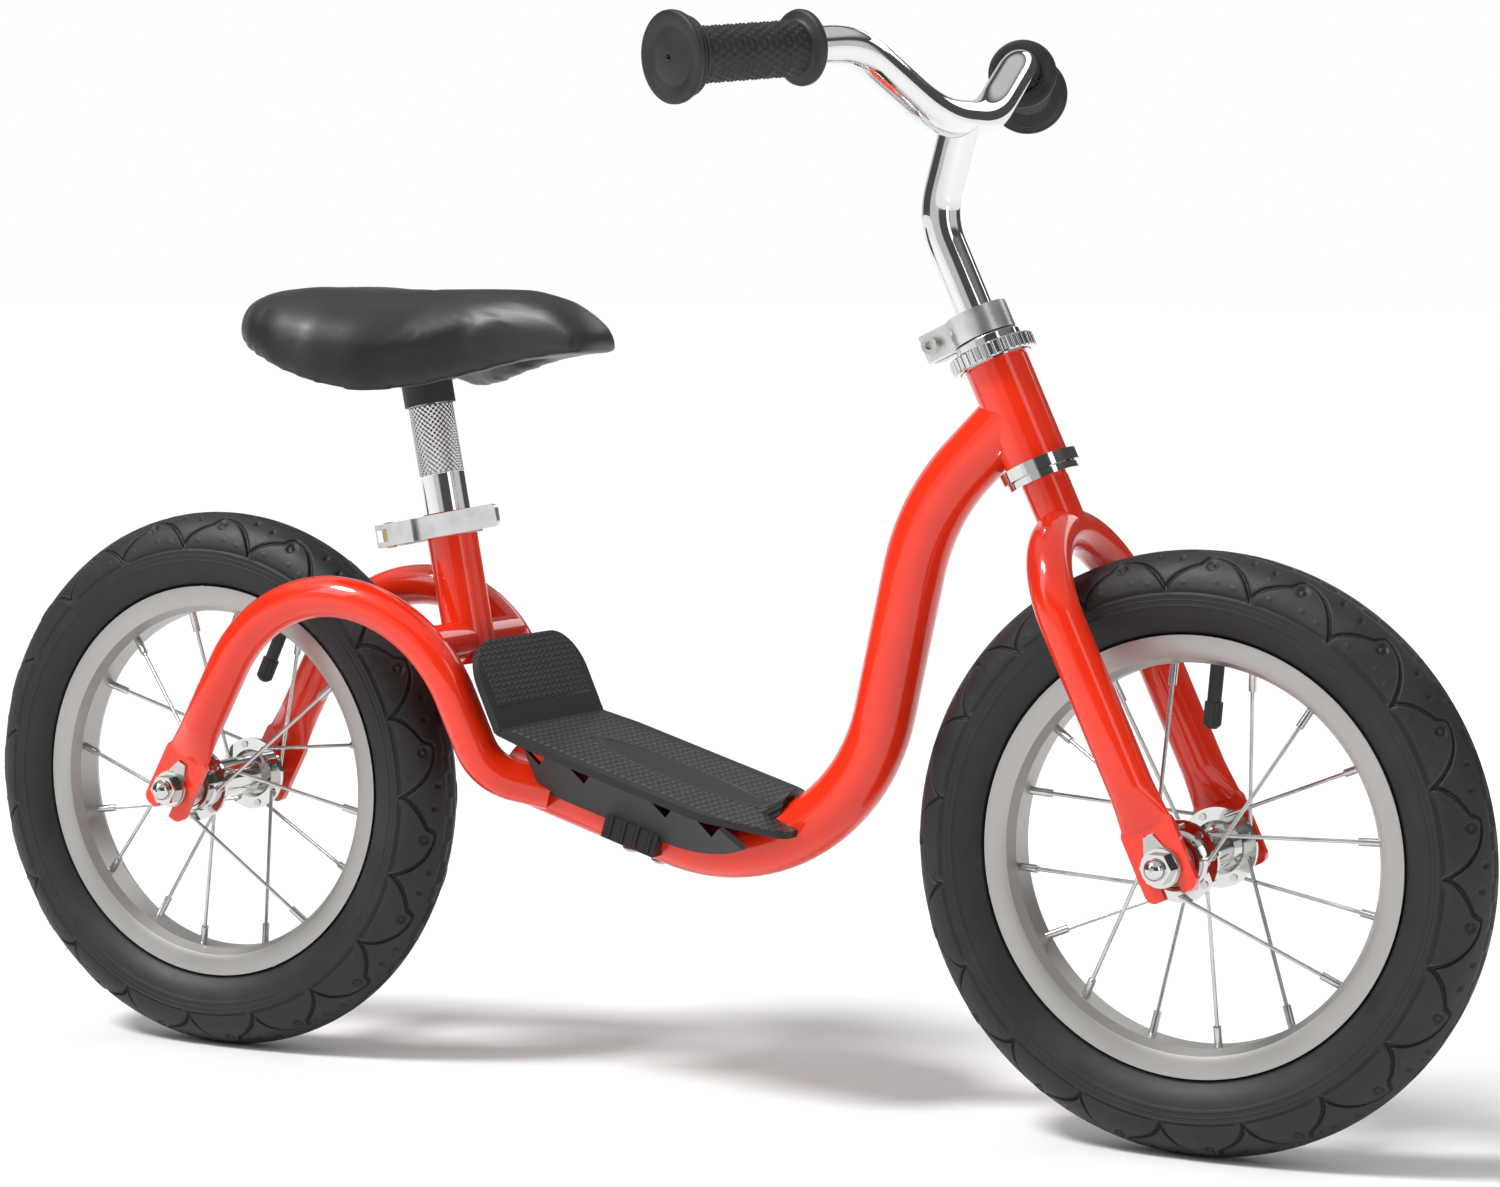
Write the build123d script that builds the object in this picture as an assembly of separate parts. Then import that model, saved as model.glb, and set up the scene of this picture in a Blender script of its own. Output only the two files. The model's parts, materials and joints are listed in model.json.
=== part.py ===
"""A child's balance bike with 12-inch spoked wheels, one STEP file for each physical piece.

Frame of reference: X points forwards, Y to the rider's left and Z up. The origin is on the
ground, on the centre plane, midway between the two axles.
"""
from build123d import *
from math import atan2, cos, degrees, radians, sin, tan
import os

# ---------------------------------------------------------------- layout of the bike
wheelbase = 577.0
head_angle = 65.0  # steering axis above the horizontal, degrees
seat_angle = 79.0  # seat tube above the horizontal, degrees
dropout_spacing = 90.0  # between the inner faces of a pair of dropouts
running_gap = 0.05  # radial clearance of every running or sliding fit
soft_gap = 0.3  # between a moving piece and its neighbours

# ---------------------------------------------------------------- wheels
tyre_diameter = 296.4
tyre_width = 44.0
tyre_wall = 3.6
bead_seat_diameter = 203.0
rim_diameter = 216.0
rim_width = 28.8
rim_flange = 1.5
rim_depth = 14.0
rim_wall = 2.6
tube_gap = 0.4
spoke_diameter = 2.0
spokes_per_side = 8
spoke_elbow_head = 3.8
spoke_head_thickness = 0.7
spoke_flare = 1.6  # more stand-off of an outer elbow, so that its wire clears the flange's edge
nipple_diameter = 4.0
nipple_length = 11.0
nipple_head = 5.6
nipple_head_lift = 0.95  # over the rim's floor, as its spoke is aslant
nipple_head_top = 2.5
rim_hole_offset = 3.0
flange_spacing = 52.4
flange_diameter = 40.0
flange_thickness = 2.5
spoke_circle = 33.6
hub_barrel = 21.0
hub_mouth = 27.0
hub_half_width = 34.5
axle_diameter = 9.5
ball_diameter = 4.76
ball_count = 10
ball_circle = 19.2
ball_slack = 0.03
ball_station = 30.4  # from the centre plane to the ball centres
cone_shoulder = 22.8
lock_nut_flats = 15.0
lock_nut_width = 6.0
washer_thickness = 1.6
washer_diameter = 20.0
washer_reach = 15.5  # from the axle to the centre of the hooked tab
tab_width = 5.0
nut_flats = 14.0
nut_flange_diameter = 19.0
nut_flange_thickness = 2.0
nut_hex_height = 5.0
nut_dome_radius = 5.6
valve_diameter = 7.0
valve_length = 19.0
valve_cap_diameter = 9.0
valve_cap_length = 13.0
front_valve_angle = 85.0
rear_valve_angle = 65.0
front_spoke_angle = 7.5
rear_spoke_angle = -8.0

# ---------------------------------------------------------------- frame tubes
main_tube_diameter = 31.8
stay_diameter = 22.2
head_tube_diameter = 32.0
head_tube_length = 53.6
head_tube_start = 207.5  # from the front axle, along the steering axis
seat_tube_diameter = 27.2
tube_wall = 1.6
main_bend_drop = 49.0  # from the head tube's middle down to the upper bend
main_bend_back = 48.5
main_bend_radius = 110.0
low_bend_behind_axle = 191.9
low_bend_height = 107.3
low_bend_radius = 95.0
main_tail_ahead_of_axle = 190.0
main_tail_height = 165.5
stay_spread = 94.0  # between the stays' centre lines over the wheel
stay_rise = 109.0  # arch above the rear axle
stay_back = 58.4  # arch's rear corner ahead of the axle
stay_front_gap = 9.2  # arch's front corner ahead of the tyre
stay_radius = 76.0
stay_foot_drop = 91.0
stay_foot_forward = 31.0
stay_foot_radius = 30.0
stay_foot_spread = 58.0
stay_end_spread = 26.0
stay_end_forward = 30.0
stay_end_drop = 8.0
seat_tube_top_forward = 147.0  # from the rear axle
seat_tube_top_height = 301.0
seat_tube_length = 82.0
bridge_below_top = 70.0
bridge_diameter = 22.2
bridge_half_length = 41.5  # to the stays' centre lines, where it meets them

# ---------------------------------------------------------------- flattened tube ends
plate_thickness = 4.0
plate_width = 28.0
plate_below_axle = 15.0
plate_above_axle = 24.0
crimp_length = 20.0
slot_width = 9.8

# ---------------------------------------------------------------- fork and headset
blade_spread = 94.0
blade_diameter = 22.2
crown_gap = 11.5  # between the tyre and the underside of the fork's arch
steerer_diameter = 22.2
neck_swell = 0.6
race_diameter = 36.0
lower_cup_diameter = 39.5
lower_cup_height = 6.0
head_race_height = 3.4
upper_cup_diameter = 36.4
upper_cup_height = 4.6
cup_skirt = 6.0
cup_floor = 0.9
adjuster_diameter = 44.0
adjuster_height = 3.4  # above the upper cup
lock_ring_diameter = 33.0
lock_ring_height = 5.0
head_ball_diameter = 3.97
head_ball_count = 20
knurl_count = 40
head_ball_circle = 30.0
clamp_height = 14.0
clamp_diameter = 32.0
clamp_ear_reach = 31.0
clamp_ear_width = 17.0
clamp_split = 2.4
clamp_bolt_diameter = 5.0
clamp_bolt_head = 8.5
clamp_gap = 0.4

# ---------------------------------------------------------------- handlebar
bar_diameter = 19.05
post_wall = 1.6
weld_gap = 0.05
bar_above_clamp = 104.8
bar_ahead_of_axis = 36.0
post_insert = 60.0
post_bend_radius = 40.0
post_lean = 15.0  # of the post above its bend, degrees forward
bar_flat_half = 29.0
bar_flat_radius = 95.0
bar_rise = 32.0
bar_elbow_half = 96.0
bar_elbow_back = 11.4
bar_elbow_radius = 58.0
grip_start_half = 126.0
grip_sweep = 21.6  # backwards, degrees
grip_droop = 5.4
grip_length = 82.0
grip_diameter = 25.0
grip_inner_flange = 36.0
grip_outer_flange = 43.0
grip_flange_thickness = 4.0
grip_cap_thickness = 5.0

# ---------------------------------------------------------------- saddle and seat post
post_diameter = 24.0
post_exposed = 72.0
seat_post_insert = 50.0
post_tube_wall = 2.0
post_end_plate = 5.0
saddle_length = 201.0
saddle_width = 146.0
saddle_nose_width = 42.0
saddle_back_offset = 98.5  # of the saddle's rear end behind the seat post
saddle_top = 421.0
saddle_side_height = 56.0
saddle_back_lift = 33.0  # of the skirt's edge at the rear over its lowest place
saddle_nose_lift = 22.0
saddle_nose_drop = 14.0
saddle_crown = 6.0
pan_thickness = 5.0
pan_below_top = 33.0
skirt_wall = 7.0
pan_length = 124.0
pan_width = 84.0
pan_back_offset = 76.0  # of the pan's middle ahead of the saddle's rear end
collar_diameter = 27.4
collar_depth = 14.0
keel_length = 44.0
keel_width = 20.0
keel_depth = 20.0
saddle_bolt_diameter = 8.0
saddle_bolt_head = 13.0
saddle_bolt_head_height = 6.0
saddle_web = 5.0

# ---------------------------------------------------------------- seat clamp with its lever
band_height = 12.0
band_thickness = 3.2
band_below_top = 1.0
band_ear_width = 10.0
band_split = 3.0
skewer_diameter = 5.0
barrel_diameter = 8.0
lever_thickness = 3.4
lever_gap = 0.6
lever_tip_reach = 42.0
lever_cam_radius = 7.5
pivot_setback = 6.0  # of the lever's pin behind the band
lever_cheek = 2.6
lever_side_gap = 0.3
barrel_pin_diameter = 5.0
skewer_nut_diameter = 11.0
skewer_nut_height = 6.0

# ---------------------------------------------------------------- footrest
deck_thickness = 4.0
deck_width = 113.0
deck_above_tube = 17.0
deck_rear_start = 12.0  # ahead of the main tube's tail, along it
deck_length = 162.0
deck_front_width = 58.0
deck_shoulder = 36.0
deck_edge_radius = 22.0
deck_corner_radius = 14.0
back_height = 49.0
back_lean = 24.0  # degrees behind the vertical
back_corner_radius = 24.0
skirt_thickness = 3.0
skirt_inset = 5.0
skirt_setback = 15.0
skirt_notch = 8.0
skirt_notches = (34.0, 62.0, 112.0, 140.0)
boss_length = 32.0
boss_wall = 7.4
boss_station = 86.0
boss_foot = 7.0  # above the tube's underside
boss_rib = 1.4
boss_ribs = 4
screw_diameter = 5.0
screw_head = 9.0
screw_head_height = 2.0
screw_length = 42.0
screw_spacing = 18.0
lip_width = 24.0
lip_start = 40.0  # behind the tread's front edge
lip_length = 26.0
lip_rise = 27.0

# ---------------------------------------------------------------- places worked out from the sizes
tyre_radius = tyre_diameter / 2
axle_height = tyre_radius
front_axle_x = wheelbase / 2
rear_axle_x = -wheelbase / 2
half_spacing = dropout_spacing / 2
plate_centre = half_spacing + plate_thickness / 2
steer_lean = radians(90 - head_angle)
seat_lean = radians(90 - seat_angle)
steer_up = Vector(-sin(steer_lean), 0, cos(steer_lean))
seat_up = Vector(-sin(seat_lean), 0, cos(seat_lean))
front_axle = Vector(front_axle_x, 0, axle_height)
rear_axle = Vector(rear_axle_x, 0, axle_height)
seat_top = Vector(rear_axle_x + seat_tube_top_forward, 0, seat_tube_top_height)
head_tube_end = head_tube_start + head_tube_length
clamp_base = head_tube_end + upper_cup_height + adjuster_height + lock_ring_height + clamp_gap
clamp_top = clamp_base + clamp_height


def steer_point(station, side=0.0):
    """The point at a distance up the steering axis from the front axle."""
    point = front_axle + steer_up * station
    return Vector(point.X, side, point.Z)


def steer_plane(station):
    """A plane square to the steering axis, its own Z up the axis and its X forwards."""
    return Plane(steer_point(station), x_dir=(cos(steer_lean), 0, sin(steer_lean)), z_dir=steer_up)


def seat_plane(below_top):
    """A plane square to the seat tube, measured down from the tube's top."""
    origin = seat_top - seat_up * below_top
    return Plane(origin, x_dir=(cos(seat_lean), 0, sin(seat_lean)), z_dir=seat_up)


def wheel_plane(axle):
    """A plane on a wheel's centre: its own Z points to the rider's right, its Y up."""
    return Plane(axle, x_dir=(1, 0, 0), z_dir=(0, -1, 0))


def turned(points):
    """A solid of revolution about Z from its (radius, height) outline."""
    outline = Polyline(*[(r, 0, z) for r, z in points], close=True)
    return revolve(make_face(outline), Axis.Z, 360)


def ring(outer, inner, low, high):
    """A plain ring between two radii and two heights."""
    return turned([(inner, low), (outer, low), (outer, high), (inner, high)])


def rod(start, end, radius):
    """A round rod between two points."""
    axis = Vector(*end) - Vector(*start)
    return Plane(Vector(*start), z_dir=axis) * Cylinder(
        radius, axis.length, align=(Align.CENTER, Align.CENTER, Align.MIN)
    )


def swept_rod(path, radius):
    """A round bar carried along a path."""
    return sweep(Plane(path @ 0, z_dir=path % 0) * Circle(radius), path=path)


def mirrored(shape):
    """The same piece on the other side of the centre plane."""
    return mirror(shape, about=Plane.XZ)


def biggest(shape):
    """The largest solid left by a cut."""
    return max(shape.solids(), key=lambda solid: solid.volume)


def group(pieces):
    """Several separate solids kept as one part."""
    return Compound(children=[solid for piece in pieces for solid in piece.solids()])


# ---------------------------------------------------------------- frame
def main_tube_path():
    """Head tube, down past the front wheel, under the footrest, to the stays' feet."""
    head = steer_point(head_tube_start + head_tube_length / 2)
    upper = Vector(head.X - main_bend_back, 0, head.Z - main_bend_drop)
    low = Vector(front_axle_x - low_bend_behind_axle, 0, low_bend_height)
    tail = Vector(rear_axle_x + main_tail_ahead_of_axle, 0, main_tail_height)
    return FilletPolyline(head, upper, low, tail, radius=[main_bend_radius, low_bend_radius])


def stay_points(side):
    """Corner points of a stay's centre line, from its dropout to its foot on the main tube."""
    half = side * stay_spread / 2
    top = axle_height + stay_rise
    rear_corner = Vector(rear_axle_x + stay_back, half, top)
    front_x = rear_axle_x + tyre_radius + stay_front_gap
    front_corner = Vector(front_x, half, top)
    foot = Vector(front_x + stay_foot_forward, side * stay_foot_spread / 2, top - stay_foot_drop)
    end_x = foot.X + stay_end_forward
    end = Vector(end_x, side * stay_end_spread / 2, foot.Z - stay_end_drop)
    return [Vector(rear_axle_x, half, axle_height), rear_corner, front_corner, foot, end]


def flat_end(axle, direction, side):
    """A tube end crimped flat, with its open axle slot and the hole for the washer's tab."""
    up = direction.normalized()
    centre = Vector(axle.X, side * plate_centre, axle.Z)
    flat = Plane(centre, x_dir=(up.Z, 0, -up.X), z_dir=(0, -1, 0))
    height = plate_below_axle + plate_above_axle
    middle = (plate_above_axle - plate_below_axle) / 2
    blank = Pos(0, middle) * RectangleRounded(plate_width, height, 5)
    slot = Pos(0, -plate_below_axle / 2) * Rectangle(slot_width, plate_below_axle)
    slot += Circle(slot_width / 2)
    tab_hole = Pos(0, washer_reach) * Rectangle(tab_width + 0.6, washer_thickness + 0.8)
    plate = extrude(flat * (blank - slot - tab_hole), plate_thickness / 2, both=True)
    crimp_start = centre + up * (plate_above_axle - 4)
    crimp_end = centre + up * (plate_above_axle - 4 + crimp_length)
    across = Vector(up.Z, 0, -up.X)
    flattened = Plane(crimp_start, x_dir=across, z_dir=up)
    round_end = Plane(crimp_end, x_dir=across, z_dir=up)
    crimp = loft(
        [
            flattened * Ellipse(plate_width / 2 - 0.4, plate_thickness / 2 + 0.6),
            round_end * Circle(stay_diameter / 2),
        ]
    )
    return plate + crimp, crimp_end


def bent_tube(points, radii, radius, side, axle):
    """A tube on a filleted centre line whose first end is crimped into a dropout."""
    end_piece, tube_start = flat_end(axle, points[1] - points[0], side)
    path = FilletPolyline(tube_start, *points[1:], radius=radii)
    tube = swept_rod(path, radius) - swept_rod(path, radius - tube_wall)
    return tube + end_piece


stay_radii = [stay_radius, stay_radius, stay_foot_radius]


def stay_path(side):
    """A stay's centre line, bent at its corners."""
    return FilletPolyline(*stay_points(side), radius=stay_radii)


def rear_stay(side):
    """One of the arched tubes over the rear wheel, mitred onto the main tube."""
    stay = bent_tube(stay_points(side), stay_radii, stay_diameter / 2, side, rear_axle)
    return biggest(stay - swept_rod(main_tube_path(), main_tube_diameter / 2))


def head_tube():
    """The tube that the headset's cups are pressed into."""
    plane = steer_plane(head_tube_start)
    inner = head_tube_diameter / 2 - tube_wall
    return plane * ring(head_tube_diameter / 2, inner, 0, head_tube_length)


def main_tube():
    """The frame's one large tube, mitred onto the head tube."""
    path = main_tube_path()
    tube = swept_rod(path, main_tube_diameter / 2)
    tube -= swept_rod(path, main_tube_diameter / 2 - tube_wall)
    head = Cylinder(head_tube_diameter / 2, 3 * head_tube_length)
    return tube - steer_plane(head_tube_start + head_tube_length / 2) * head - screw_bores()


def seat_tube():
    """The seat tube, its top split at the back so that the clamp can close it."""
    outer = seat_tube_diameter / 2
    bore = post_diameter / 2 + running_gap
    tube = ring(outer, bore, 0, seat_tube_length)
    slit_height = 2 * band_height
    slit = Pos(-outer, 0, seat_tube_length - slit_height / 2) * Box(outer, 2, slit_height)
    return seat_plane(seat_tube_length) * (tube - slit)


def cross_bridge():
    """The tube between the two stays that carries the seat tube, in two halves."""
    centre = seat_top - seat_up * bridge_below_top
    half = bridge_half_length
    bar = rod((centre.X, -half, centre.Z), (centre.X, half, centre.Z), bridge_diameter / 2)
    bar -= rod((centre.X, -half, centre.Z), (centre.X, half, centre.Z), bridge_diameter / 2 - tube_wall)
    seat = seat_plane(seat_tube_length / 2) * Cylinder(seat_tube_diameter / 2, 2 * seat_tube_length)
    bar -= seat
    for side in (-1, 1):
        bar -= swept_rod(stay_path(side), stay_diameter / 2)
    return group(sorted(bar.solids(), key=lambda solid: -solid.volume)[:2])


# ---------------------------------------------------------------- headset
def head_cup(outward, height, outer, station):
    """A pressed cup: a skirt inside the head tube, a flange on its end and the ball track."""
    skirt = head_tube_diameter / 2 - tube_wall
    track = head_ball_circle / 2 + head_ball_diameter / 2 + ball_slack
    throat = steerer_diameter / 2 + 1.0
    cup = turned(
        [
            (throat, -cup_skirt),
            (skirt, -cup_skirt),
            (skirt, 0),
            (outer / 2, 0),
            (outer / 2, height),
            (track, height),
            (track, cup_floor),
            (throat, cup_floor),
        ]
    )
    plane = steer_plane(station)
    if outward < 0:
        plane = Plane(plane.origin, x_dir=plane.x_dir, z_dir=-plane.z_dir)
    return plane * cup


def head_balls():
    """Both rings of balls in the headset."""
    balls = []
    lift = cup_floor + head_ball_diameter / 2 + ball_slack
    for station in (head_tube_end + lift, head_tube_start - lift):
        for turn in range(head_ball_count):
            angle = 360 / head_ball_count * turn
            ball = Rot(0, 0, angle) * Pos(head_ball_circle / 2, 0, 0) * Sphere(head_ball_diameter / 2)
            balls.append(steer_plane(station) * ball)
    return group(balls)


def race_track():
    """Half of a race: the track inside the ring of balls and the shoulder that caps them."""
    inner = steerer_diameter / 2
    track = head_ball_circle / 2 - head_ball_diameter / 2 - ball_slack
    ball_top = cup_floor + head_ball_diameter + 2 * ball_slack
    shoulder = head_ball_circle / 2 + head_ball_diameter / 2 - clamp_gap
    start = cup_floor + soft_gap
    return [(inner, start), (track, start), (track, ball_top), (shoulder, ball_top)]


def adjuster():
    """The knurled adjusting race: its skirt hides the upper cup."""
    covered = upper_cup_height + clamp_gap
    skirt = upper_cup_diameter / 2 + clamp_gap
    top = upper_cup_height + adjuster_height
    outer = adjuster_diameter / 2
    points = race_track() + [(shoulder_radius(), covered), (skirt, covered), (skirt, clamp_gap)]
    points += [(outer - 0.8, clamp_gap), (outer, clamp_gap + 0.8), (outer, top - 0.8), (outer - 0.8, top)]
    body = turned(points + [(steerer_diameter / 2, top)])
    for turn in range(knurl_count):
        flute = Pos(outer + 0.5, 0, 0) * Cylinder(1.1, 4 * top)
        body -= Rot(0, 0, 360 / knurl_count * turn) * flute
    return steer_plane(head_tube_end) * body


def shoulder_radius():
    """The fork shoulder's radius, just inside the crown race."""
    return race_track()[-1][0]


def crown_race():
    """The race that sits on the fork's shoulder and carries the lower balls."""
    base = lower_cup_height + clamp_gap
    top = base + head_race_height
    points = race_track() + [(shoulder_radius(), base), (race_diameter / 2, base)]
    points += [(race_diameter / 2, top), (steerer_diameter / 2, top)]
    plane = steer_plane(head_tube_start)
    return Plane(plane.origin, x_dir=plane.x_dir, z_dir=-plane.z_dir) * turned(points)


def lock_ring():
    """The hexagon nut that locks the adjuster, chamfered on top."""
    base = head_tube_end + upper_cup_height + adjuster_height
    outer = lock_ring_diameter / 2
    inner = steerer_diameter / 2
    blank = extrude(RegularPolygon(outer, 6, major_radius=False), lock_ring_height)
    chamfered = turned(
        [
            (inner, 0),
            (outer + 0.4, 0),
            (outer + 0.4, lock_ring_height - 1),
            (outer - 0.8, lock_ring_height),
            (inner, lock_ring_height),
        ]
    )
    return steer_plane(base) * (blank & chamfered)


# ---------------------------------------------------------------- fork
def blade_points(side):
    """Corner points of a fork blade, from its dropout up and over to the steering axis."""
    half = side * blade_spread / 2
    crown = tyre_radius + crown_gap + blade_diameter / 2
    return [steer_point(0, half), steer_point(crown, half), steer_point(crown, 0)]


crown_radius = blade_spread / 2 - 0.5


def fork_blade(side):
    """One leg of the fork, arched over the wheel to meet the other."""
    return bent_tube(blade_points(side), [crown_radius], blade_diameter / 2, side, front_axle)


def fork_steerer():
    """The steerer with the shoulder that the crown race sits on, mitred onto the arch."""
    crown = tyre_radius + crown_gap + blade_diameter / 2
    shoulder = head_tube_start - lower_cup_height - head_race_height - clamp_gap
    bore = bar_diameter / 2 + running_gap
    outer = steerer_diameter / 2
    neck = outer + neck_swell
    tube = ring(outer, bore, shoulder, clamp_top) + ring(neck, bore, crown, shoulder)
    slit_height = 2 * clamp_height
    slit = Pos(-outer, 0, clamp_top - slit_height / 2) * Box(outer, clamp_split, slit_height)
    tube = steer_plane(0) * (tube - slit)
    for side in (-1, 1):
        path = FilletPolyline(*blade_points(side), radius=[crown_radius])
        tube -= swept_rod(path, blade_diameter / 2)
    return biggest(tube)


def stem_clamp():
    """The split collar that grips the steerer and, through it, the handlebar's post."""
    outer = clamp_diameter / 2
    collar = Cylinder(outer, clamp_height, align=(Align.CENTER, Align.CENTER, Align.MIN))
    middle = Pos(-clamp_ear_reach / 2, 0, clamp_height / 2)
    body = collar + middle * Box(clamp_ear_reach, clamp_ear_width, clamp_height)
    body = fillet(body.edges().filter_by(Axis.Z).group_by(Axis.X)[0], 3)
    body -= Cylinder(steerer_diameter / 2, 4 * clamp_height)
    body -= middle * Box(clamp_ear_reach, clamp_split, 2 * clamp_height)
    body -= stem_bolt_axis() * Cylinder(clamp_bolt_diameter / 2, 3 * clamp_ear_width)
    return steer_plane(clamp_base) * body


def stem_bolt_axis():
    """Where the clamp's bolt crosses its ears."""
    station = -(clamp_diameter / 2 + clamp_ear_reach) / 2 - 0.5
    return Pos(station, 0, clamp_height / 2) * Rot(90, 0, 0)


def stem_clamp_bolt():
    """A socket-head bolt across the clamp's ears, with its nut."""
    half = clamp_ear_width / 2
    shank = Cylinder(clamp_bolt_diameter / 2, clamp_ear_width + 8)
    head = Pos(0, 0, half + clamp_bolt_diameter / 2) * Cylinder(clamp_bolt_head / 2, clamp_bolt_diameter)
    socket = Pos(0, 0, half + clamp_bolt_diameter) * extrude(RegularPolygon(2.3, 6), 2.8, both=True)
    nut = Pos(0, 0, -half - 4) * extrude(RegularPolygon(4, 6, major_radius=False), 4)
    return steer_plane(clamp_base) * stem_bolt_axis() * (shank + head + nut - socket)


# ---------------------------------------------------------------- handlebar
bar_centre = steer_point(clamp_top) + Vector(
    -sin(steer_lean) * bar_above_clamp + bar_ahead_of_axis,
    0,
    cos(steer_lean) * bar_above_clamp,
)


def post_knee():
    """Where the post's upper run, leaning forwards, meets the steering axis."""
    lean = radians(post_lean)
    run = bar_centre - steer_point(0)
    above = run.dot(steer_up)
    ahead = run.dot(Vector(cos(steer_lean), 0, sin(steer_lean)))
    return steer_point(above - ahead / tan(steer_lean + lean))


def handlebar_post():
    """The bent post: its straight lower run slides in the steerer."""
    start = steer_point(clamp_top - post_insert)
    path = FilletPolyline(start, post_knee(), bar_centre, radius=post_bend_radius)
    post = swept_rod(path, bar_diameter / 2) - swept_rod(path, bar_diameter / 2 - post_wall)
    return post - swept_rod(bar_path(), bar_diameter / 2 + weld_gap)


def grip_direction():
    """The way the left grip points, outwards, swept back and drooping."""
    sweep_back = radians(grip_sweep)
    droop = radians(grip_droop)
    return Vector(-sin(sweep_back) * cos(droop), cos(sweep_back) * cos(droop), -sin(droop))


def grip_start():
    """The inner end of the left grip on the bar's centre line."""
    elbow = bar_elbow()
    along = grip_direction()
    return elbow + along * ((grip_start_half - elbow.Y) / along.Y)


def bar_elbow():
    """The corner between the bar's rise and its straight grip."""
    return bar_centre + Vector(-bar_elbow_back, bar_elbow_half, bar_rise)


def bar_path():
    """The bar's centre line, from the right grip's end to the left one's."""
    flat = bar_centre + Vector(0, bar_flat_half, 0)
    end = grip_start() + grip_direction() * (grip_length - grip_cap_thickness)
    left = [flat, bar_elbow(), end]
    right = [Vector(point.X, -point.Y, point.Z) for point in reversed(left)]
    radii = [bar_elbow_radius, bar_flat_radius, bar_flat_radius, bar_elbow_radius]
    return FilletPolyline(*right, *left, radius=radii)


def handlebar():
    """The bent bar, one tube from end to end."""
    path = bar_path()
    return swept_rod(path, bar_diameter / 2) - swept_rod(path, bar_diameter / 2 - post_wall)


def left_grip():
    """A soft grip: a wide inner flange, the body and a closed outer end."""
    bore = bar_diameter / 2
    rim = grip_flange_thickness
    depth = grip_length - grip_cap_thickness
    body = turned(
        [
            (bore, 0),
            (grip_inner_flange / 2 - 1, 0),
            (grip_inner_flange / 2, 1),
            (grip_inner_flange / 2, rim - 1),
            (grip_inner_flange / 2 - 1, rim),
            (grip_diameter / 2, rim + 1),
            (grip_diameter / 2, depth - rim - 1),
            (grip_outer_flange / 2 - 1, depth - rim),
            (grip_outer_flange / 2, depth - rim + 1),
            (grip_outer_flange / 2, grip_length - 2),
            (grip_outer_flange / 2 - 2, grip_length),
            (grip_outer_flange / 2 - 7, grip_length),
            (grip_outer_flange / 2 - 9, grip_length - 2.4),
            (2, grip_length - 1),
            (2, depth),
            (bore, depth),
        ]
    )
    return Plane(grip_start(), z_dir=grip_direction()) * body


# ---------------------------------------------------------------- saddle and post
def seat_post():
    """The seat post, closed at its top by the plate that the saddle bolt screws into."""
    outer = post_diameter / 2
    tube = ring(outer, outer - post_tube_wall, -seat_post_insert, post_exposed)
    plate = ring(outer, saddle_bolt_diameter / 2, post_exposed - post_end_plate, post_exposed)
    return seat_plane(0) * (tube + plate)


def saddle_plan(inset, height):
    """The pear-shaped plan of the saddle, shrunk all round by an inset."""
    post = seat_top + seat_up * post_exposed
    back = post.X - saddle_back_offset + inset
    nose = post.X - saddle_back_offset + saddle_length - inset
    half = saddle_width / 2 - inset
    nose_half = saddle_nose_width / 2 - inset
    length = nose - back
    widest = (back + 0.30 * length, half)
    waist = (back + 0.55 * length, (half + nose_half) / 2)
    nose_start = (nose - nose_half, nose_half)
    rear = Spline((back, 0), (back + 0.08 * length, 0.72 * half), widest, tangents=[(0, 1), (1, 0)])
    side = Spline(widest, waist, nose_start, tangents=[(1, 0), (1, 0)])
    upper = rear + side + RadiusArc(nose_start, (nose, 0), nose_half)
    return Plane.XY.offset(height) * make_face(upper + mirror(upper, about=Plane.XZ))


def saddle_side():
    """The saddle's outline from the side: a near level top over a skirt that climbs to the nose."""
    post = seat_top + seat_up * post_exposed
    back = post.X - saddle_back_offset - 1
    nose = back + saddle_length + 2
    low = saddle_top - saddle_side_height
    outline = Spline(
        (back, low + saddle_back_lift),
        (back + 0.20 * saddle_length, low + 0.45 * saddle_back_lift),
        (back + 0.48 * saddle_length, low),
        (back + 0.75 * saddle_length, low + 0.65 * saddle_nose_lift),
        (nose, low + saddle_nose_lift),
    )
    crest = Spline(
        (nose, saddle_top - 1.5 * saddle_nose_drop),
        (nose - 0.10 * saddle_length, saddle_top - 0.5 * saddle_crown),
        (nose - 0.45 * saddle_length, saddle_top - saddle_crown),
        (nose - 0.80 * saddle_length, saddle_top),
        (back, saddle_top - saddle_nose_drop),
    )
    edges = outline + Line(outline @ 1, crest @ 0) + crest + Line(crest @ 1, outline @ 0)
    face = make_face(Plane.XZ * edges)
    return extrude(face, saddle_width, both=True)


def saddle_cover():
    """The padded saddle: a closed solid hollowed underneath for its pan."""
    low = saddle_top - saddle_side_height
    block = extrude(saddle_plan(0, low - 1), saddle_side_height + 2) & saddle_side()
    pan_level = saddle_top - pan_below_top
    hollow = extrude(saddle_plan(skirt_wall, low - 2), pan_level - low + 2)
    return block - hollow


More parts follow.
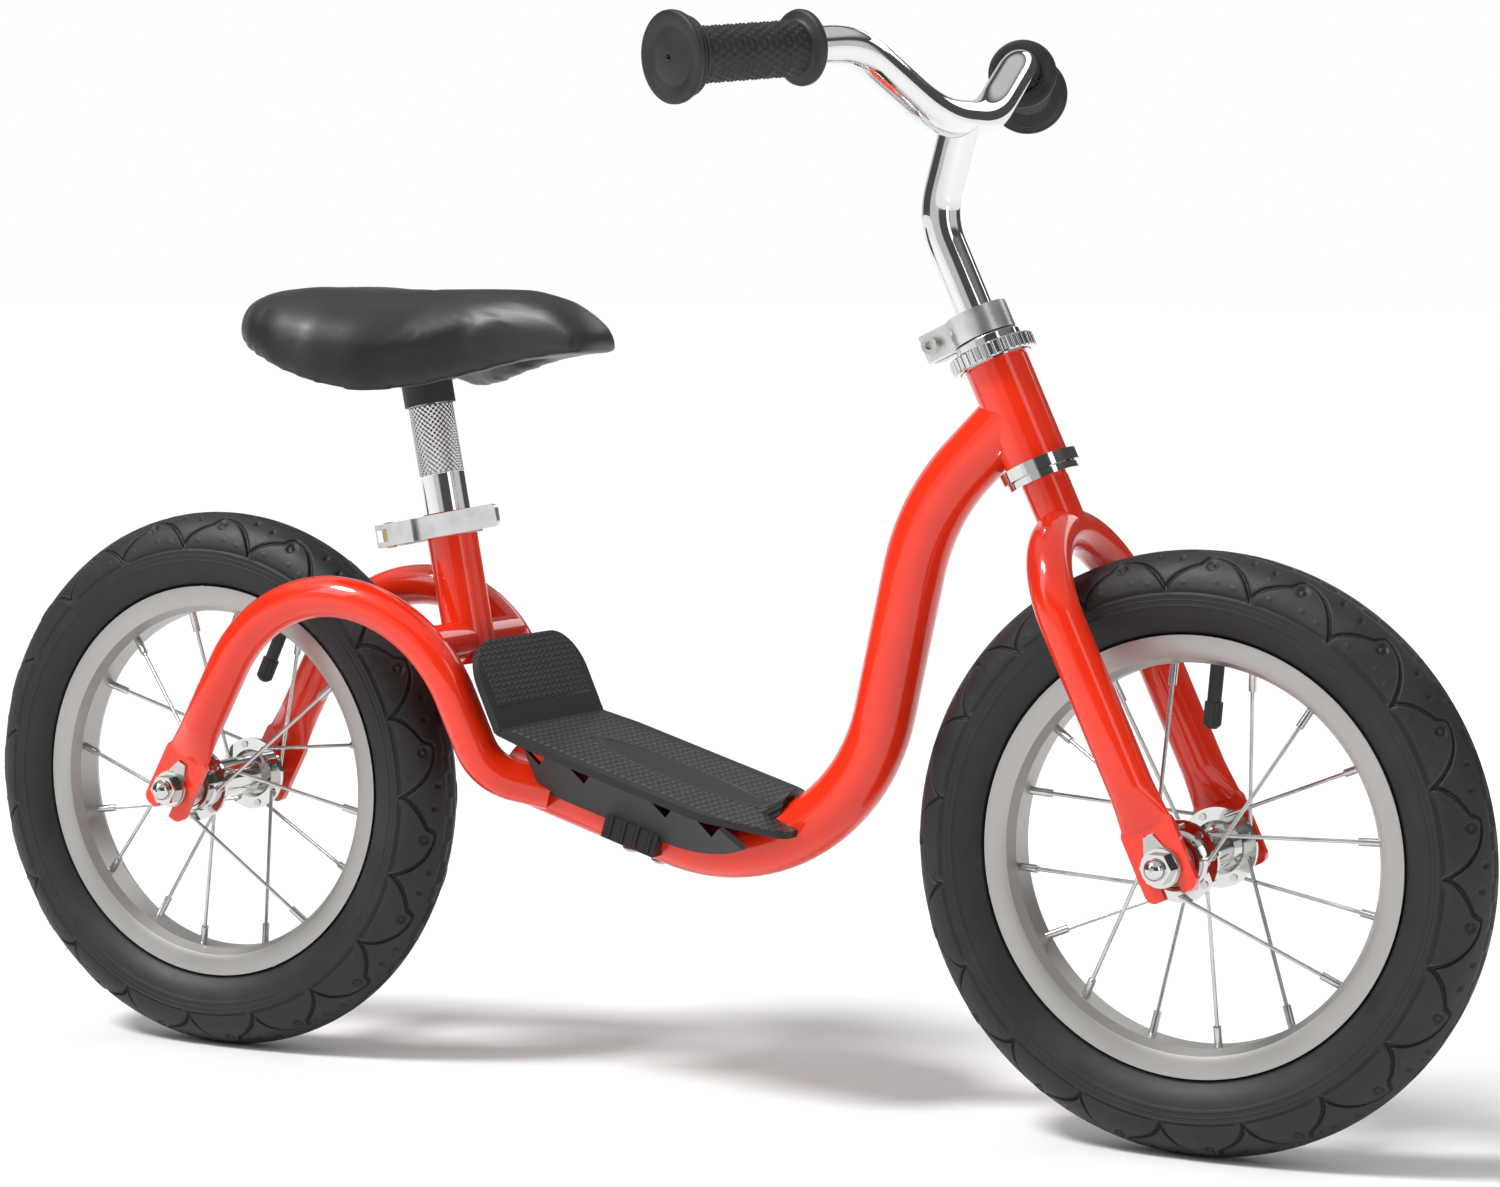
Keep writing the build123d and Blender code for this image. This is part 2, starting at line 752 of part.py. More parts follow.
def saddle_pan():
    """The stiff pan under the padding, with the collar that takes the seat post."""
    pan_level = saddle_top - pan_below_top
    plane = seat_plane(-post_exposed)
    middle_x = plane.origin.X - saddle_back_offset + pan_back_offset
    pan = Pos(middle_x, 0, pan_level - pan_thickness) * extrude(
        Ellipse(pan_length / 2, pan_width / 2), pan_thickness
    )
    tall = 3 * pan_below_top
    collar = Cylinder(collar_diameter / 2, tall, align=(Align.CENTER, Align.CENTER, Align.MIN))
    below = Pos(plane.origin.X, 0, pan_level - tall) * Box(2 * tall, 2 * tall, 2 * tall)
    collar = (plane * Pos(0, 0, -collar_depth) * collar) & below
    pan = pan + collar + saddle_keel(pan_level)
    bore = Cylinder(post_diameter / 2, tall, align=(Align.CENTER, Align.CENTER, Align.MAX))
    recess = Cylinder(saddle_bolt_head / 2 + 0.5, tall, align=(Align.CENTER, Align.CENTER, Align.MIN))
    pan -= plane * bore
    pan -= plane * Cylinder(saddle_bolt_diameter / 2, tall)
    return pan - plane * Pos(0, 0, saddle_web) * recess


def saddle_keel(pan_level):
    """The wedge under the pan, deep at the collar and running out towards the nose."""
    x = (seat_top + seat_up * post_exposed).X
    side = Polyline(
        (x, 0, pan_level),
        (x, 0, pan_level - keel_depth),
        (x + keel_length, 0, pan_level - pan_thickness - 1),
        (x + keel_length, 0, pan_level),
        close=True,
    )
    return extrude(make_face(side), keel_width / 2, both=True)


def saddle_bolt():
    """The hidden bolt that draws the pan down onto the seat post's end plate."""
    shank = Cylinder(
        saddle_bolt_diameter / 2,
        saddle_web + post_end_plate + 6,
        align=(Align.CENTER, Align.CENTER, Align.MAX),
    )
    head = extrude(RegularPolygon(saddle_bolt_head / 2 - 0.4, 6), saddle_bolt_head_height)
    return seat_plane(-post_exposed) * Pos(0, 0, saddle_web) * (shank + head)


# ---------------------------------------------------------------- seat clamp
clamp_band_outer = seat_tube_diameter / 2 + band_thickness
pivot_x = -clamp_band_outer - lever_cam_radius - pivot_setback
pivot_y = -band_ear_width / 2 - lever_gap - lever_cam_radius


def band_plane():
    """The seat clamp's plane, at the band's lower face."""
    return seat_plane(band_below_top + band_height)


def seat_clamp_band():
    """The split band round the seat tube, with two ears behind it."""
    body = Cylinder(clamp_band_outer, band_height, align=(Align.CENTER, Align.CENTER, Align.MIN))
    middle = band_height / 2
    reach = -pivot_x + skewer_diameter
    body += Pos(-reach / 2, 0, middle) * Box(reach, band_ear_width, band_height)
    body = fillet(body.edges().filter_by(Axis.Z).group_by(Axis.X)[0], 3)
    body -= Cylinder(seat_tube_diameter / 2, 4 * band_height)
    body -= Pos(-reach / 2, 0, middle) * Box(reach, band_split, 2 * band_height)
    body -= Pos(pivot_x, 0, middle) * Rot(90, 0, 0) * Cylinder(skewer_diameter / 2, 4 * band_ear_width)
    return band_plane() * body


def seat_clamp_skewer():
    """The threaded skewer across the ears, from the barrel to its nut."""
    start = (pivot_x, pivot_y, band_height / 2)
    end = (pivot_x, band_ear_width / 2 + skewer_nut_height + 1, band_height / 2)
    return band_plane() * rod(start, end, skewer_diameter / 2)


def seat_clamp_nut():
    """The round nut on the skewer's far end."""
    outer = skewer_nut_diameter / 2
    nut = turned(
        [
            (skewer_diameter / 2, 0),
            (outer, 0),
            (outer, skewer_nut_height - 2),
            (outer - 1.5, skewer_nut_height),
            (skewer_diameter / 2, skewer_nut_height),
        ]
    )
    place = Plane((pivot_x, band_ear_width / 2, band_height / 2), z_dir=(0, 1, 0)).location
    return band_plane() * place * nut


def seat_clamp_barrel():
    """The brass barrel between the lever's cheeks, and the pin that they turn on."""
    barrel_length = band_height - 2 * lever_cheek - 2 * lever_side_gap
    barrel = Pos(0, 0, band_height / 2) * Cylinder(barrel_diameter / 2, barrel_length)
    pin = Pos(0, 0, band_height / 2) * Cylinder(barrel_pin_diameter / 2, band_height + 1.6)
    piece = Pos(pivot_x, pivot_y, 0) * (barrel + pin)
    skewer = rod((pivot_x, pivot_y, band_height / 2), (pivot_x, 0, band_height / 2), skewer_diameter / 2)
    return band_plane() * (piece - skewer)


def seat_clamp_lever():
    """The cam lever: two cheeks on the barrel's pin and a strap that follows the band."""
    inner = clamp_band_outer + lever_gap
    outer = inner + lever_thickness
    strap = Cylinder(outer, band_height, align=(Align.CENTER, Align.CENTER, Align.MIN))
    strap -= Cylinder(inner, 4 * band_height)
    strap -= Pos(0, outer, 0) * Box(4 * outer, 2 * outer, 4 * band_height)
    strap -= Pos(outer, 0, 0) * Box(2 * outer, 4 * outer, 4 * band_height)
    clear_of_ear = band_ear_width / 2 + lever_gap
    strap &= Pos(0, -clear_of_ear - outer, 0) * Box(4 * outer, 2 * outer, 4 * band_height)
    tip = Pos(0, -inner - lever_thickness / 2, band_height / 2) * Box(
        lever_tip_reach, lever_thickness, band_height, align=(Align.MIN, Align.CENTER, Align.CENTER)
    )
    tip = fillet(tip.edges().filter_by(Axis.Y).group_by(Axis.X)[-1], 3)
    cheeks = Pos(pivot_x, pivot_y, 0) * Cylinder(
        lever_cam_radius, band_height, align=(Align.CENTER, Align.CENTER, Align.MIN)
    )
    web_x = (pivot_x - inner) / 2 + 1
    web = Pos(web_x, pivot_y - lever_cam_radius / 2, band_height / 2) * Box(
        abs(pivot_x) - inner + 10, lever_cam_radius, band_height
    )
    web -= Cylinder(inner, 4 * band_height)
    lever = strap + tip + cheeks + web
    gap = band_height - 2 * lever_cheek
    slot = Pos(pivot_x, pivot_y, band_height / 2) * Cylinder(lever_cam_radius + 0.6, gap)
    lever -= slot
    lever -= Pos(pivot_x, pivot_y, 0) * Cylinder(barrel_pin_diameter / 2 + running_gap, 4 * band_height)
    return band_plane() * lever


# ---------------------------------------------------------------- footrest
def deck_frame():
    """The footrest's plane: X down the main tube's rear run, Z square to it, origin on its axis."""
    low = Vector(front_axle_x - low_bend_behind_axle, 0, low_bend_height)
    tail = Vector(rear_axle_x + main_tail_ahead_of_axle, 0, main_tail_height)
    along = (low - tail).normalized()
    return Plane(tail, x_dir=along, z_dir=Vector(-along.Z, 0, along.X))


def deck_plan():
    """Half-round fronted tread, seen square to itself."""
    half = deck_width / 2
    front = deck_rear_start + deck_length
    shoulder = front - deck_shoulder
    outline = Polyline(
        (deck_rear_start, -half + 4),
        (deck_rear_start + deck_edge_radius, -half),
        (shoulder, -half),
        (front, -deck_front_width / 2),
        (front, deck_front_width / 2),
        (shoulder, half),
        (deck_rear_start + deck_edge_radius, half),
        (deck_rear_start, half - 4),
        close=True,
    )
    face = make_face(outline)
    sharp = face.vertices().group_by(Axis.X)
    return fillet(sharp[-1] + sharp[-2], deck_corner_radius)


def footrest():
    """The moulded footrest: tread, upright back, slanted skirts, clamp boss and front lip."""
    plane = deck_frame()
    level = main_tube_diameter / 2 + deck_above_tube
    tread = Pos(0, 0, level - deck_thickness) * extrude(deck_plan(), deck_thickness)
    lean = back_lean + 90 - degrees(atan2(plane.z_dir.Z, plane.z_dir.X))
    back_shape = RectangleRounded(deck_width - 6, 2 * back_height, back_corner_radius)
    back = extrude(back_shape, deck_thickness / 2, both=True)
    back &= Pos(0, back_height, 0) * Box(2 * deck_width, 2 * back_height, 4 * deck_thickness)
    hinge = Pos(deck_rear_start, 0, level - deck_thickness / 2)
    upright = hinge * Rot(0, -lean, 0) * Rot(0, 0, 90) * Rot(90, 0, 0) * back
    crease = hinge * Rot(90, 0, 0) * Cylinder(deck_thickness / 2, deck_width - 8)
    body = tread + upright + crease
    half = deck_width / 2 - skirt_inset
    foot = main_tube_diameter / 2 + 0.5
    drop = level - deck_thickness
    skirt_outline = [(half, drop), (half - skirt_thickness, drop), (foot - 3, 0), (foot, -3)]
    section = make_face(Plane.YZ * Polyline(*skirt_outline, close=True))
    start = deck_rear_start + skirt_setback
    skirt = Pos(start, 0, 0) * extrude(section, deck_length - 2 * skirt_setback)
    for notch_station in skirt_notches:
        notch = make_face(
            Plane.XZ
            * Polyline(
                (notch_station - skirt_notch, drop + 0.1),
                (notch_station + skirt_notch, drop + 0.1),
                (notch_station, drop - 1.2 * skirt_notch),
                close=True,
            )
        )
        skirt -= extrude(notch, deck_width, both=True)
    skirt &= Pos(0, 0, -4 * level) * extrude(deck_plan(), 8 * level)
    skirt = (plane * skirt) & above_main_tube()
    body += footrest_boss(drop)
    body = plane * body + skirt + mirrored(skirt)
    body += footrest_lip(plane, level)
    body -= swept_rod(main_tube_path(), main_tube_diameter / 2)
    for side in (-1, 1):
        body -= swept_rod(stay_path(side), stay_diameter / 2 + soft_gap)
    return biggest(body - screw_bores())


def footrest_boss(top):
    """The ribbed block that straddles the main tube under the tread."""
    radius = main_tube_diameter / 2
    foot = boss_foot - radius
    middle = (top + foot) / 2
    boss = Pos(boss_station, 0, middle) * Box(boss_length, 2 * (radius + boss_wall), top - foot)
    for side in (-1, 1):
        for count in range(boss_ribs):
            station = boss_station + boss_length * ((count + 0.5) / boss_ribs - 0.5)
            place = Pos(station, side * (radius + boss_wall), middle)
            boss += place * Cylinder(boss_rib, top - foot - 2)
    return boss


def footrest_lip(plane, level):
    """The front lip that climbs along the top of the main tube."""
    start = deck_rear_start + deck_length - lip_start
    lip = swept_rod(main_tube_path(), main_tube_diameter / 2 + deck_thickness)
    keep = Pos(start, 0, level - deck_thickness) * Box(
        lip_length, lip_width, lip_rise, align=(Align.MIN, Align.CENTER, Align.MIN)
    )
    return lip & (plane * keep)


def above_main_tube():
    """Everything over the main tube's centre line, as wide as the footrest."""
    path = main_tube_path()
    head, tail = path @ 0, path @ 1
    sky = head.Z + 10
    rest = Polyline(tail, (tail.X, 0, sky), (head.X, 0, sky), head)
    return extrude(make_face(path.edges() + rest.edges()), deck_width, both=True)


def screw_stations():
    """The two screws' places along the main tube, under the boss."""
    return [boss_station - screw_spacing / 2, boss_station + screw_spacing / 2]


def screw_bores():
    """The room the screws' shanks take up, from under the main tube up into the boss."""
    bores = [
        Pos(x, 0, -main_tube_diameter)
        * Cylinder(
            screw_diameter / 2,
            screw_length + main_tube_diameter / 2,
            align=(Align.CENTER, Align.CENTER, Align.MIN),
        )
        for x in screw_stations()
    ]
    return deck_frame() * (bores[0] + bores[1])


def footrest_screws():
    """Two dome-head screws, up through the main tube into the footrest's boss."""
    base = -main_tube_diameter / 2
    screws = []
    for x in screw_stations():
        head = Sphere(screw_head / 2) & Pos(0, 0, -screw_head / 2) * Box(screw_head, screw_head, screw_head)
        head = Pos(x, 0, base) * scale(head, (1, 1, 2 * screw_head_height / screw_head))
        shank = Pos(x, 0, base) * Cylinder(
            screw_diameter / 2, screw_length, align=(Align.CENTER, Align.CENTER, Align.MIN)
        )
        recess = Pos(x, 0, base - screw_head_height) * extrude(RegularPolygon(1.8, 6), 1.6)
        screws.append(head + shank - recess)
    return group([deck_frame() * screw for screw in screws])


# ---------------------------------------------------------------- wheels
def tyre(axle):
    """The tyre: a round casing over the rim with beads between the rim's flanges."""
    middle = tyre_radius - tyre_width / 2
    bead = bead_seat_diameter / 2
    inside = rim_width / 2 - rim_flange
    casing = Pos(middle, 0) * Circle(tyre_width / 2)
    casing += Pos((bead + middle) / 2, 0) * Rectangle(middle - bead, 2 * inside)
    flange_top = rim_diameter / 2
    keep_low = Pos(flange_top / 2, 0) * Rectangle(flange_top, 2 * inside)
    keep_high = Pos(flange_top + tyre_radius / 2, 0) * Rectangle(tyre_radius, 2 * tyre_width)
    casing &= keep_low + keep_high
    cavity = Pos(middle - 0.4, 0) * Circle(tyre_width / 2 - tyre_wall)
    cavity += Pos(bead, 0) * Rectangle(middle - bead, 2 * inside - 2 * tyre_wall)
    section = casing - cavity
    return wheel_plane(axle) * revolve(Plane.XZ * section, Axis.Z, 360)


def inner_tube(axle, valve_angle):
    """The inflated tube inside the tyre, with its valve stem through the rim."""
    middle = tyre_radius - tyre_width / 2 - 0.4
    radius = tyre_width / 2 - tyre_wall - tube_gap
    ring_section = Pos(middle, 0) * (Circle(radius) - Circle(radius - 1.2))
    body = revolve(Plane.XZ * ring_section, Axis.Z, 360)
    top = middle - radius + 0.6
    stem = rod((top, 0, 0), (rim_inner_radius() - valve_length, 0, 0), valve_diameter / 2)
    tip = rod(
        (rim_inner_radius() - valve_length, 0, 0),
        (rim_inner_radius() - valve_length - 8, 0, 0),
        valve_diameter / 2 - 1.0,
    )
    return wheel_plane(axle) * Rot(0, 0, valve_angle) * (body + stem + tip)


def rim_inner_radius():
    """The radius that the spokes' nipples sit on."""
    return rim_diameter / 2 - rim_depth


def valve_cap(axle, valve_angle):
    """The ribbed dust cap screwed over the valve's tip."""
    end = rim_inner_radius() - valve_length
    cap = turned(
        [
            (valve_diameter / 2 - 1.0, 0),
            (valve_cap_diameter / 2, 0),
            (valve_cap_diameter / 2, valve_cap_length - 2),
            (valve_cap_diameter / 2 - 2, valve_cap_length),
            (0, valve_cap_length),
            (0, 8),
            (valve_diameter / 2 - 1.0, 8),
        ]
    )
    for turn in range(12):
        flute = Pos(valve_cap_diameter / 2 + 0.3, 0, 4) * Cylinder(0.7, 14)
        cap -= Rot(0, 0, 30 * turn) * flute
    place = Plane((end, 0, 0), z_dir=(-1, 0, 0)).location
    return wheel_plane(axle) * Rot(0, 0, valve_angle) * place * cap


def spoke_lines(phase):
    """Every spoke as (hub angle, rim angle, side, elbow height, rim height)."""
    lines = []
    pitch = 360 / spokes_per_side
    for side, offset in ((1, 0), (-1, pitch / 2)):
        for count in range(spokes_per_side):
            direction = 1 if count % 2 == 0 else -1
            hub_angle = phase + offset + pitch * count
            rim_angle = hub_angle + direction * pitch
            lift = direction * (flange_thickness / 2 + spoke_diameter / 2 + 0.1)
            lift += spoke_flare * (direction > 0)
            lines.append((hub_angle, rim_angle, side, flange_spacing / 2 + lift, direction))
    return lines


def polar(radius, angle, height):
    """A point on a wheel, by its radius, angle and height above the wheel's plane."""
    return Vector(radius * cos(radians(angle)), radius * sin(radians(angle)), height)


def spoke_ends(hub_angle, rim_angle, side, height):
    """The elbow at the hub and the point where the spoke's line meets the rim's floor."""
    elbow = polar(spoke_circle / 2, hub_angle, side * height)
    rim = polar(rim_inner_radius() + rim_wall, rim_angle, side * rim_hole_offset)
    return elbow, rim


def spokes(axle, phase):
    """Sixteen laced spokes, each with its bent head in the hub's flange."""
    wires = []
    radius = spoke_diameter / 2
    for hub_angle, rim_angle, side, height, direction in spoke_lines(phase):
        elbow, rim = spoke_ends(hub_angle, rim_angle, side, height)
        toward = (rim - elbow).normalized()
        end = rim - toward * (nipple_length / 2)
        far = flange_spacing / 2 - direction * (flange_thickness / 2 + spoke_head_thickness)
        head_at = Vector(elbow.X, elbow.Y, side * far)
        wire = rod(elbow, end, radius) + rod(elbow, head_at, radius)
        wire += Pos(*elbow) * Sphere(radius)
        outward = (head_at - elbow).normalized()
        wire += rod(head_at - outward * spoke_head_thickness, head_at, spoke_elbow_head / 2)
        wires.append(wire)
    return wheel_plane(axle) * group(wires)


def nipples(axle, phase):
    """The nipples that hold the spokes' outer ends in the rim."""
    sleeves = []
    for hub_angle, rim_angle, side, height, _ in spoke_lines(phase):
        elbow, rim = spoke_ends(hub_angle, rim_angle, side, height)
        toward = (rim - elbow).normalized()
        inner = rim - toward * (nipple_length + rim_wall)
        sleeve = rod(inner, rim + toward * nipple_head_lift, nipple_diameter / 2)
        sleeve += rod(rim + toward * nipple_head_lift, rim + toward * nipple_head_top, nipple_head / 2)
        sleeve -= rod(inner - toward, rim - toward * (nipple_length / 2), spoke_diameter / 2)
        sleeves.append(sleeve)
    return wheel_plane(axle) * group(sleeves)


def rim(axle, phase, valve_angle):
    """The rim: a shallow channel with two flanges, drilled for spokes and valve."""
    outer = rim_diameter / 2
    inner = rim_inner_radius()
    half = rim_width / 2
    seat = bead_seat_diameter / 2
    well = inner + rim_wall
    profile = [
        (inner, half - 7),
        (inner + 3, half - 1.5),
        (seat - 1, half),
        (outer, half),
        (outer, half - rim_flange),
        (seat, half - rim_flange),
        (seat, half - 6.5),
        (well, half - 8.5),
    ]
    body = turned(profile + [(r, -z) for r, z in reversed(profile)])
    for hub_angle, rim_angle, side, height, _ in spoke_lines(phase):
        elbow, floor = spoke_ends(hub_angle, rim_angle, side, height)
        toward = (floor - elbow).normalized()
        body -= rod(floor - toward * 8, floor + toward * 4, nipple_diameter / 2)
    body -= Rot(0, 0, valve_angle) * rod((inner - 8, 0, 0), (well + 8, 0, 0), valve_diameter / 2)
    return wheel_plane(axle) * body


def hub_shell(axle, phase):
    """The hub: barrel, two drilled flanges and a bearing cup in each end."""
    barrel = hub_barrel / 2
    mouth = hub_mouth / 2
    flange_in = flange_spacing / 2 - flange_thickness / 2
    flange_out = flange_spacing / 2 + flange_thickness / 2
    cup = ball_circle / 2 + ball_diameter / 2 + ball_slack
    throat = axle_diameter / 2 + 2.5
    floor = ball_station - ball_diameter / 2 - ball_slack
    profile = [
        (throat, 0),
        (barrel, 0),
        (barrel, flange_in - 5),
        (barrel + 3, flange_in),
        (flange_diameter / 2, flange_in),
        (flange_diameter / 2, flange_out),
        (mouth + 1.5, flange_out),
        (mouth, flange_out + 1.5),
        (mouth, hub_half_width),
        (cup, hub_half_width),
        (cup, floor),
        (throat, floor),
    ]
    half = turned(profile)
    body = half + mirror(half, about=Plane.XY)
    for hub_angle, _, side, _, _ in spoke_lines(phase):
        hole = polar(spoke_circle / 2, hub_angle, side * flange_spacing / 2)
        body -= Pos(*hole) * Cylinder(spoke_diameter / 2, 2 * flange_thickness)
    return wheel_plane(axle) * body


def both_ends(piece):
    """A hub piece on both ends of the axle."""
    return [piece, mirror(piece, about=Plane.XY)]


def hub_balls(axle):
    """The balls of both bearings of a hub."""
    balls = []
    for turn in range(ball_count):
        ball = Pos(*polar(ball_circle / 2, 360 / ball_count * turn, ball_station))
        balls += both_ends(ball * Sphere(ball_diameter / 2))
    return wheel_plane(axle) * group(balls)


def cones(axle):
    """The bearing cones on the axle, each with its dust shoulder and spanner flats."""
    inner = axle_diameter / 2
    track = ball_circle / 2 - ball_diameter / 2 - ball_slack
    start = ball_station - ball_diameter / 2
    shoulder = ball_station + ball_diameter / 2 + ball_slack
    end = half_spacing - lock_nut_width
    cone = turned(
        [
            (inner, start),
            (track, start),
            (track, shoulder),
            (cone_shoulder / 2, shoulder),
            (cone_shoulder / 2, shoulder + 1.8),
            (inner + 3.2, shoulder + 1.8),
            (inner + 3.2, end),
            (inner, end),
        ]
    )
    return wheel_plane(axle) * group(both_ends(cone))


def lock_nuts(axle):
    """The nuts that hold the cones, next to the dropouts."""
    blank = extrude(RegularPolygon(lock_nut_flats / 2, 6, major_radius=False), lock_nut_width)
    nut = Pos(0, 0, half_spacing - lock_nut_width) * (blank - Cylinder(axle_diameter / 2, 40))
    return wheel_plane(axle) * group(both_ends(nut))


def axle_rod(axle):
    """The threaded axle, right through the hub and both dropouts."""
    half = half_spacing + plate_thickness + washer_thickness + nut_flange_thickness + nut_hex_height
    return wheel_plane(axle) * Cylinder(axle_diameter / 2, 2 * half)


def tab_washers(axle, direction):
    """Pear-shaped washers whose hooked tabs drop into the holes in the dropouts."""
    turn = degrees(atan2(direction.Z, direction.X))
    face = half_spacing + plate_thickness
    disc = Circle(washer_diameter / 2)
    wing = make_face(
        Polyline(
            (0, -washer_diameter / 2 + 1),
            (washer_reach + washer_thickness / 2, -tab_width / 2),
            (washer_reach + washer_thickness / 2, tab_width / 2),
            (0, washer_diameter / 2 - 1),
            close=True,
        )
    )
    plate = Pos(0, 0, face) * extrude(disc + wing - Circle(axle_diameter / 2), washer_thickness)
    tab = Pos(washer_reach, 0, face) * Box(
        washer_thickness, tab_width, 2.4, align=(Align.CENTER, Align.CENTER, Align.MAX)
    )
    washer = Rot(0, 0, turn) * (plate + tab)
    return wheel_plane(axle) * group(both_ends(washer))


def axle_nuts(axle):
    """Flanged domed nuts."""
    base = half_spacing + plate_thickness + washer_thickness
    bore = axle_diameter / 2
    flange = ring(nut_flange_diameter / 2, bore, base, base + nut_flange_thickness)
    hexagon = Pos(0, 0, base) * (
        extrude(RegularPolygon(nut_flats / 2, 6, major_radius=False), nut_flange_thickness + nut_hex_height)
        - Cylinder(bore, 40)
    )
    top = base + nut_flange_thickness + nut_hex_height
    dome = Pos(0, 0, top) * (Sphere(nut_dome_radius) & Pos(0, 0, 10) * Box(30, 30, 20))
    return wheel_plane(axle) * group(both_ends(flange + hexagon + dome))


def wheel(prefix, axle, phase, valve_angle, direction):
    """All the pieces of one wheel and of the axle that it turns on."""
    return {
        f"{prefix}_tyre": tyre(axle),
        f"{prefix}_inner_tube": inner_tube(axle, valve_angle),
        f"{prefix}_valve_cap": valve_cap(axle, valve_angle),
        f"{prefix}_rim": rim(axle, phase, valve_angle),
        f"{prefix}_spokes": spokes(axle, phase),
        f"{prefix}_nipples": nipples(axle, phase),
        f"{prefix}_hub_shell": hub_shell(axle, phase),
        f"{prefix}_hub_balls": hub_balls(axle),
        f"{prefix}_cones": cones(axle),
        f"{prefix}_lock_nuts": lock_nuts(axle),
        f"{prefix}_axle": axle_rod(axle),
        f"{prefix}_tab_washers": tab_washers(axle, direction),
        f"{prefix}_axle_nuts": axle_nuts(axle),
    }


def all_parts():
    """Every piece of the bike by its name."""
    rear_points = stay_points(1)
    parts = {
        "main_tube": main_tube(),
        "head_tube": head_tube(),
        "seat_tube": seat_tube(),
        "left_rear_stay": rear_stay(1),
        "right_rear_stay": rear_stay(-1),
        "cross_bridge": cross_bridge(),
        "upper_head_cup": head_cup(1, upper_cup_height, upper_cup_diameter, head_tube_end),
        "lower_head_cup": head_cup(-1, lower_cup_height, lower_cup_diameter, head_tube_start),
        "headset_balls": head_balls(),
        "headset_adjuster": adjuster(),
        "headset_lock_ring": lock_ring(),
        "crown_race": crown_race(),
        "fork_steerer": fork_steerer(),
        "left_fork_blade": fork_blade(1),
        "right_fork_blade": fork_blade(-1),
        "stem_clamp": stem_clamp(),
        "stem_clamp_bolt": stem_clamp_bolt(),
        "handlebar": handlebar(),
        "handlebar_post": handlebar_post(),
        "left_grip": left_grip(),
        "right_grip": mirrored(left_grip()),
        "seat_post": seat_post(),
        "saddle_cover": saddle_cover(),
        "saddle_pan": saddle_pan(),
        "saddle_bolt": saddle_bolt(),
        "seat_clamp_band": seat_clamp_band(),
        "seat_clamp_skewer": seat_clamp_skewer(),
        "seat_clamp_nut": seat_clamp_nut(),
        "seat_clamp_barrel": seat_clamp_barrel(),
        "seat_clamp_lever": seat_clamp_lever(),
        "footrest": footrest(),
        "footrest_screws": footrest_screws(),
    }
    rear_direction = rear_points[1] - rear_points[0]
    parts |= wheel("front", front_axle, front_spoke_angle, front_valve_angle, steer_up)
    parts |= wheel("rear", rear_axle, rear_spoke_angle, rear_valve_angle, rear_direction)
    return parts


def write(parts):
    """One STEP file for each piece."""
    os.makedirs("parts", exist_ok=True)
    for name, shape in parts.items():
        export_step(shape, f"parts/{name}.step")


write(all_parts())
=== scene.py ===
"""A child's balance bike: treaded tyres, nubbed grips, a padded saddle and finishes.

Run as a script it makes every piece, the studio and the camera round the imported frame.
"""
import json
from math import pi, radians

import bmesh
import bpy
import numpy as np
from mathutils import Matrix, Vector


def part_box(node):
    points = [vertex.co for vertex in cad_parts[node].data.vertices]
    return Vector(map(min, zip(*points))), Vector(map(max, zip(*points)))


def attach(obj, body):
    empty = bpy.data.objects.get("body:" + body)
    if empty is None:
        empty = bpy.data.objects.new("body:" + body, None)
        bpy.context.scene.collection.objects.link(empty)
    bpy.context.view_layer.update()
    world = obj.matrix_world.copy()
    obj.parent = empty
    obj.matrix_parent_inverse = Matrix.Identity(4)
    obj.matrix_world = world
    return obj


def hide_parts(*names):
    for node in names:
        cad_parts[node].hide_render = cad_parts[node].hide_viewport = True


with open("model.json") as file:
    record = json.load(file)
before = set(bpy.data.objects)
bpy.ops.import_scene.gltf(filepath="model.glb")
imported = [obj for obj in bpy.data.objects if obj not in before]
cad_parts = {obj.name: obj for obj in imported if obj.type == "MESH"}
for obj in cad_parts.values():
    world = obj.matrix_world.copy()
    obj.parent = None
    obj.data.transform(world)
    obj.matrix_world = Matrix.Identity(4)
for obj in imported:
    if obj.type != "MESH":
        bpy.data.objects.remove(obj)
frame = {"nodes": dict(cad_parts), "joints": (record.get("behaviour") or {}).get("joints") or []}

bl_info = {
    "name": "Balance Bike",
    "version": (1, 0, 0),
    "blender": (4, 5, 0),
    "location": "View3D > Sidebar > Balance Bike",
    "description": "Makes the treaded, padded and nubbed pieces of a balance bike and its finishes",
    "category": "Add Mesh",
}

ROWS_IN_A_PITCH = 48  # rows of points along one scallop of the tread, an even number
BEAD_ANGLE = 145.0  # where a tyre's skin turns in, in degrees from its crown
TYRE_WALL = 0.0036
RING_ANGLES = (85.5, 92.0, 99.0)  # of the rings on a tyre's sidewall, in degrees from its crown
GOLDEN_TURN = 2.399963  # radians between one hair and the next
GRIP_BODY_RADIUS = 0.0125
CLOTH_FRAMES = 14


# ------------------------------------------------------------------ places read from the frame
def middle_of(node):
    """The centre of a part's box."""
    low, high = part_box(node)
    return np.array((low + high) / 2)


def joint_named(name):
    """One joint's facts."""
    return next(joint for joint in frame["joints"] if joint["name"] == name)


def spin_axis(node):
    """A turned part's axis: its middle, and the direction whose spread differs most from the others."""
    mesh = frame["nodes"][node].data
    points = np.empty(len(mesh.vertices) * 3)
    mesh.vertices.foreach_get("co", points)
    points = np.unique(np.round(points.reshape(-1, 3), 6), axis=0)
    spread, axes = np.linalg.eigh(np.cov((points - points.mean(0)).T))
    odd = 0 if spread[1] - spread[0] > spread[2] - spread[1] else 2
    return points.mean(0), axes[:, odd], points


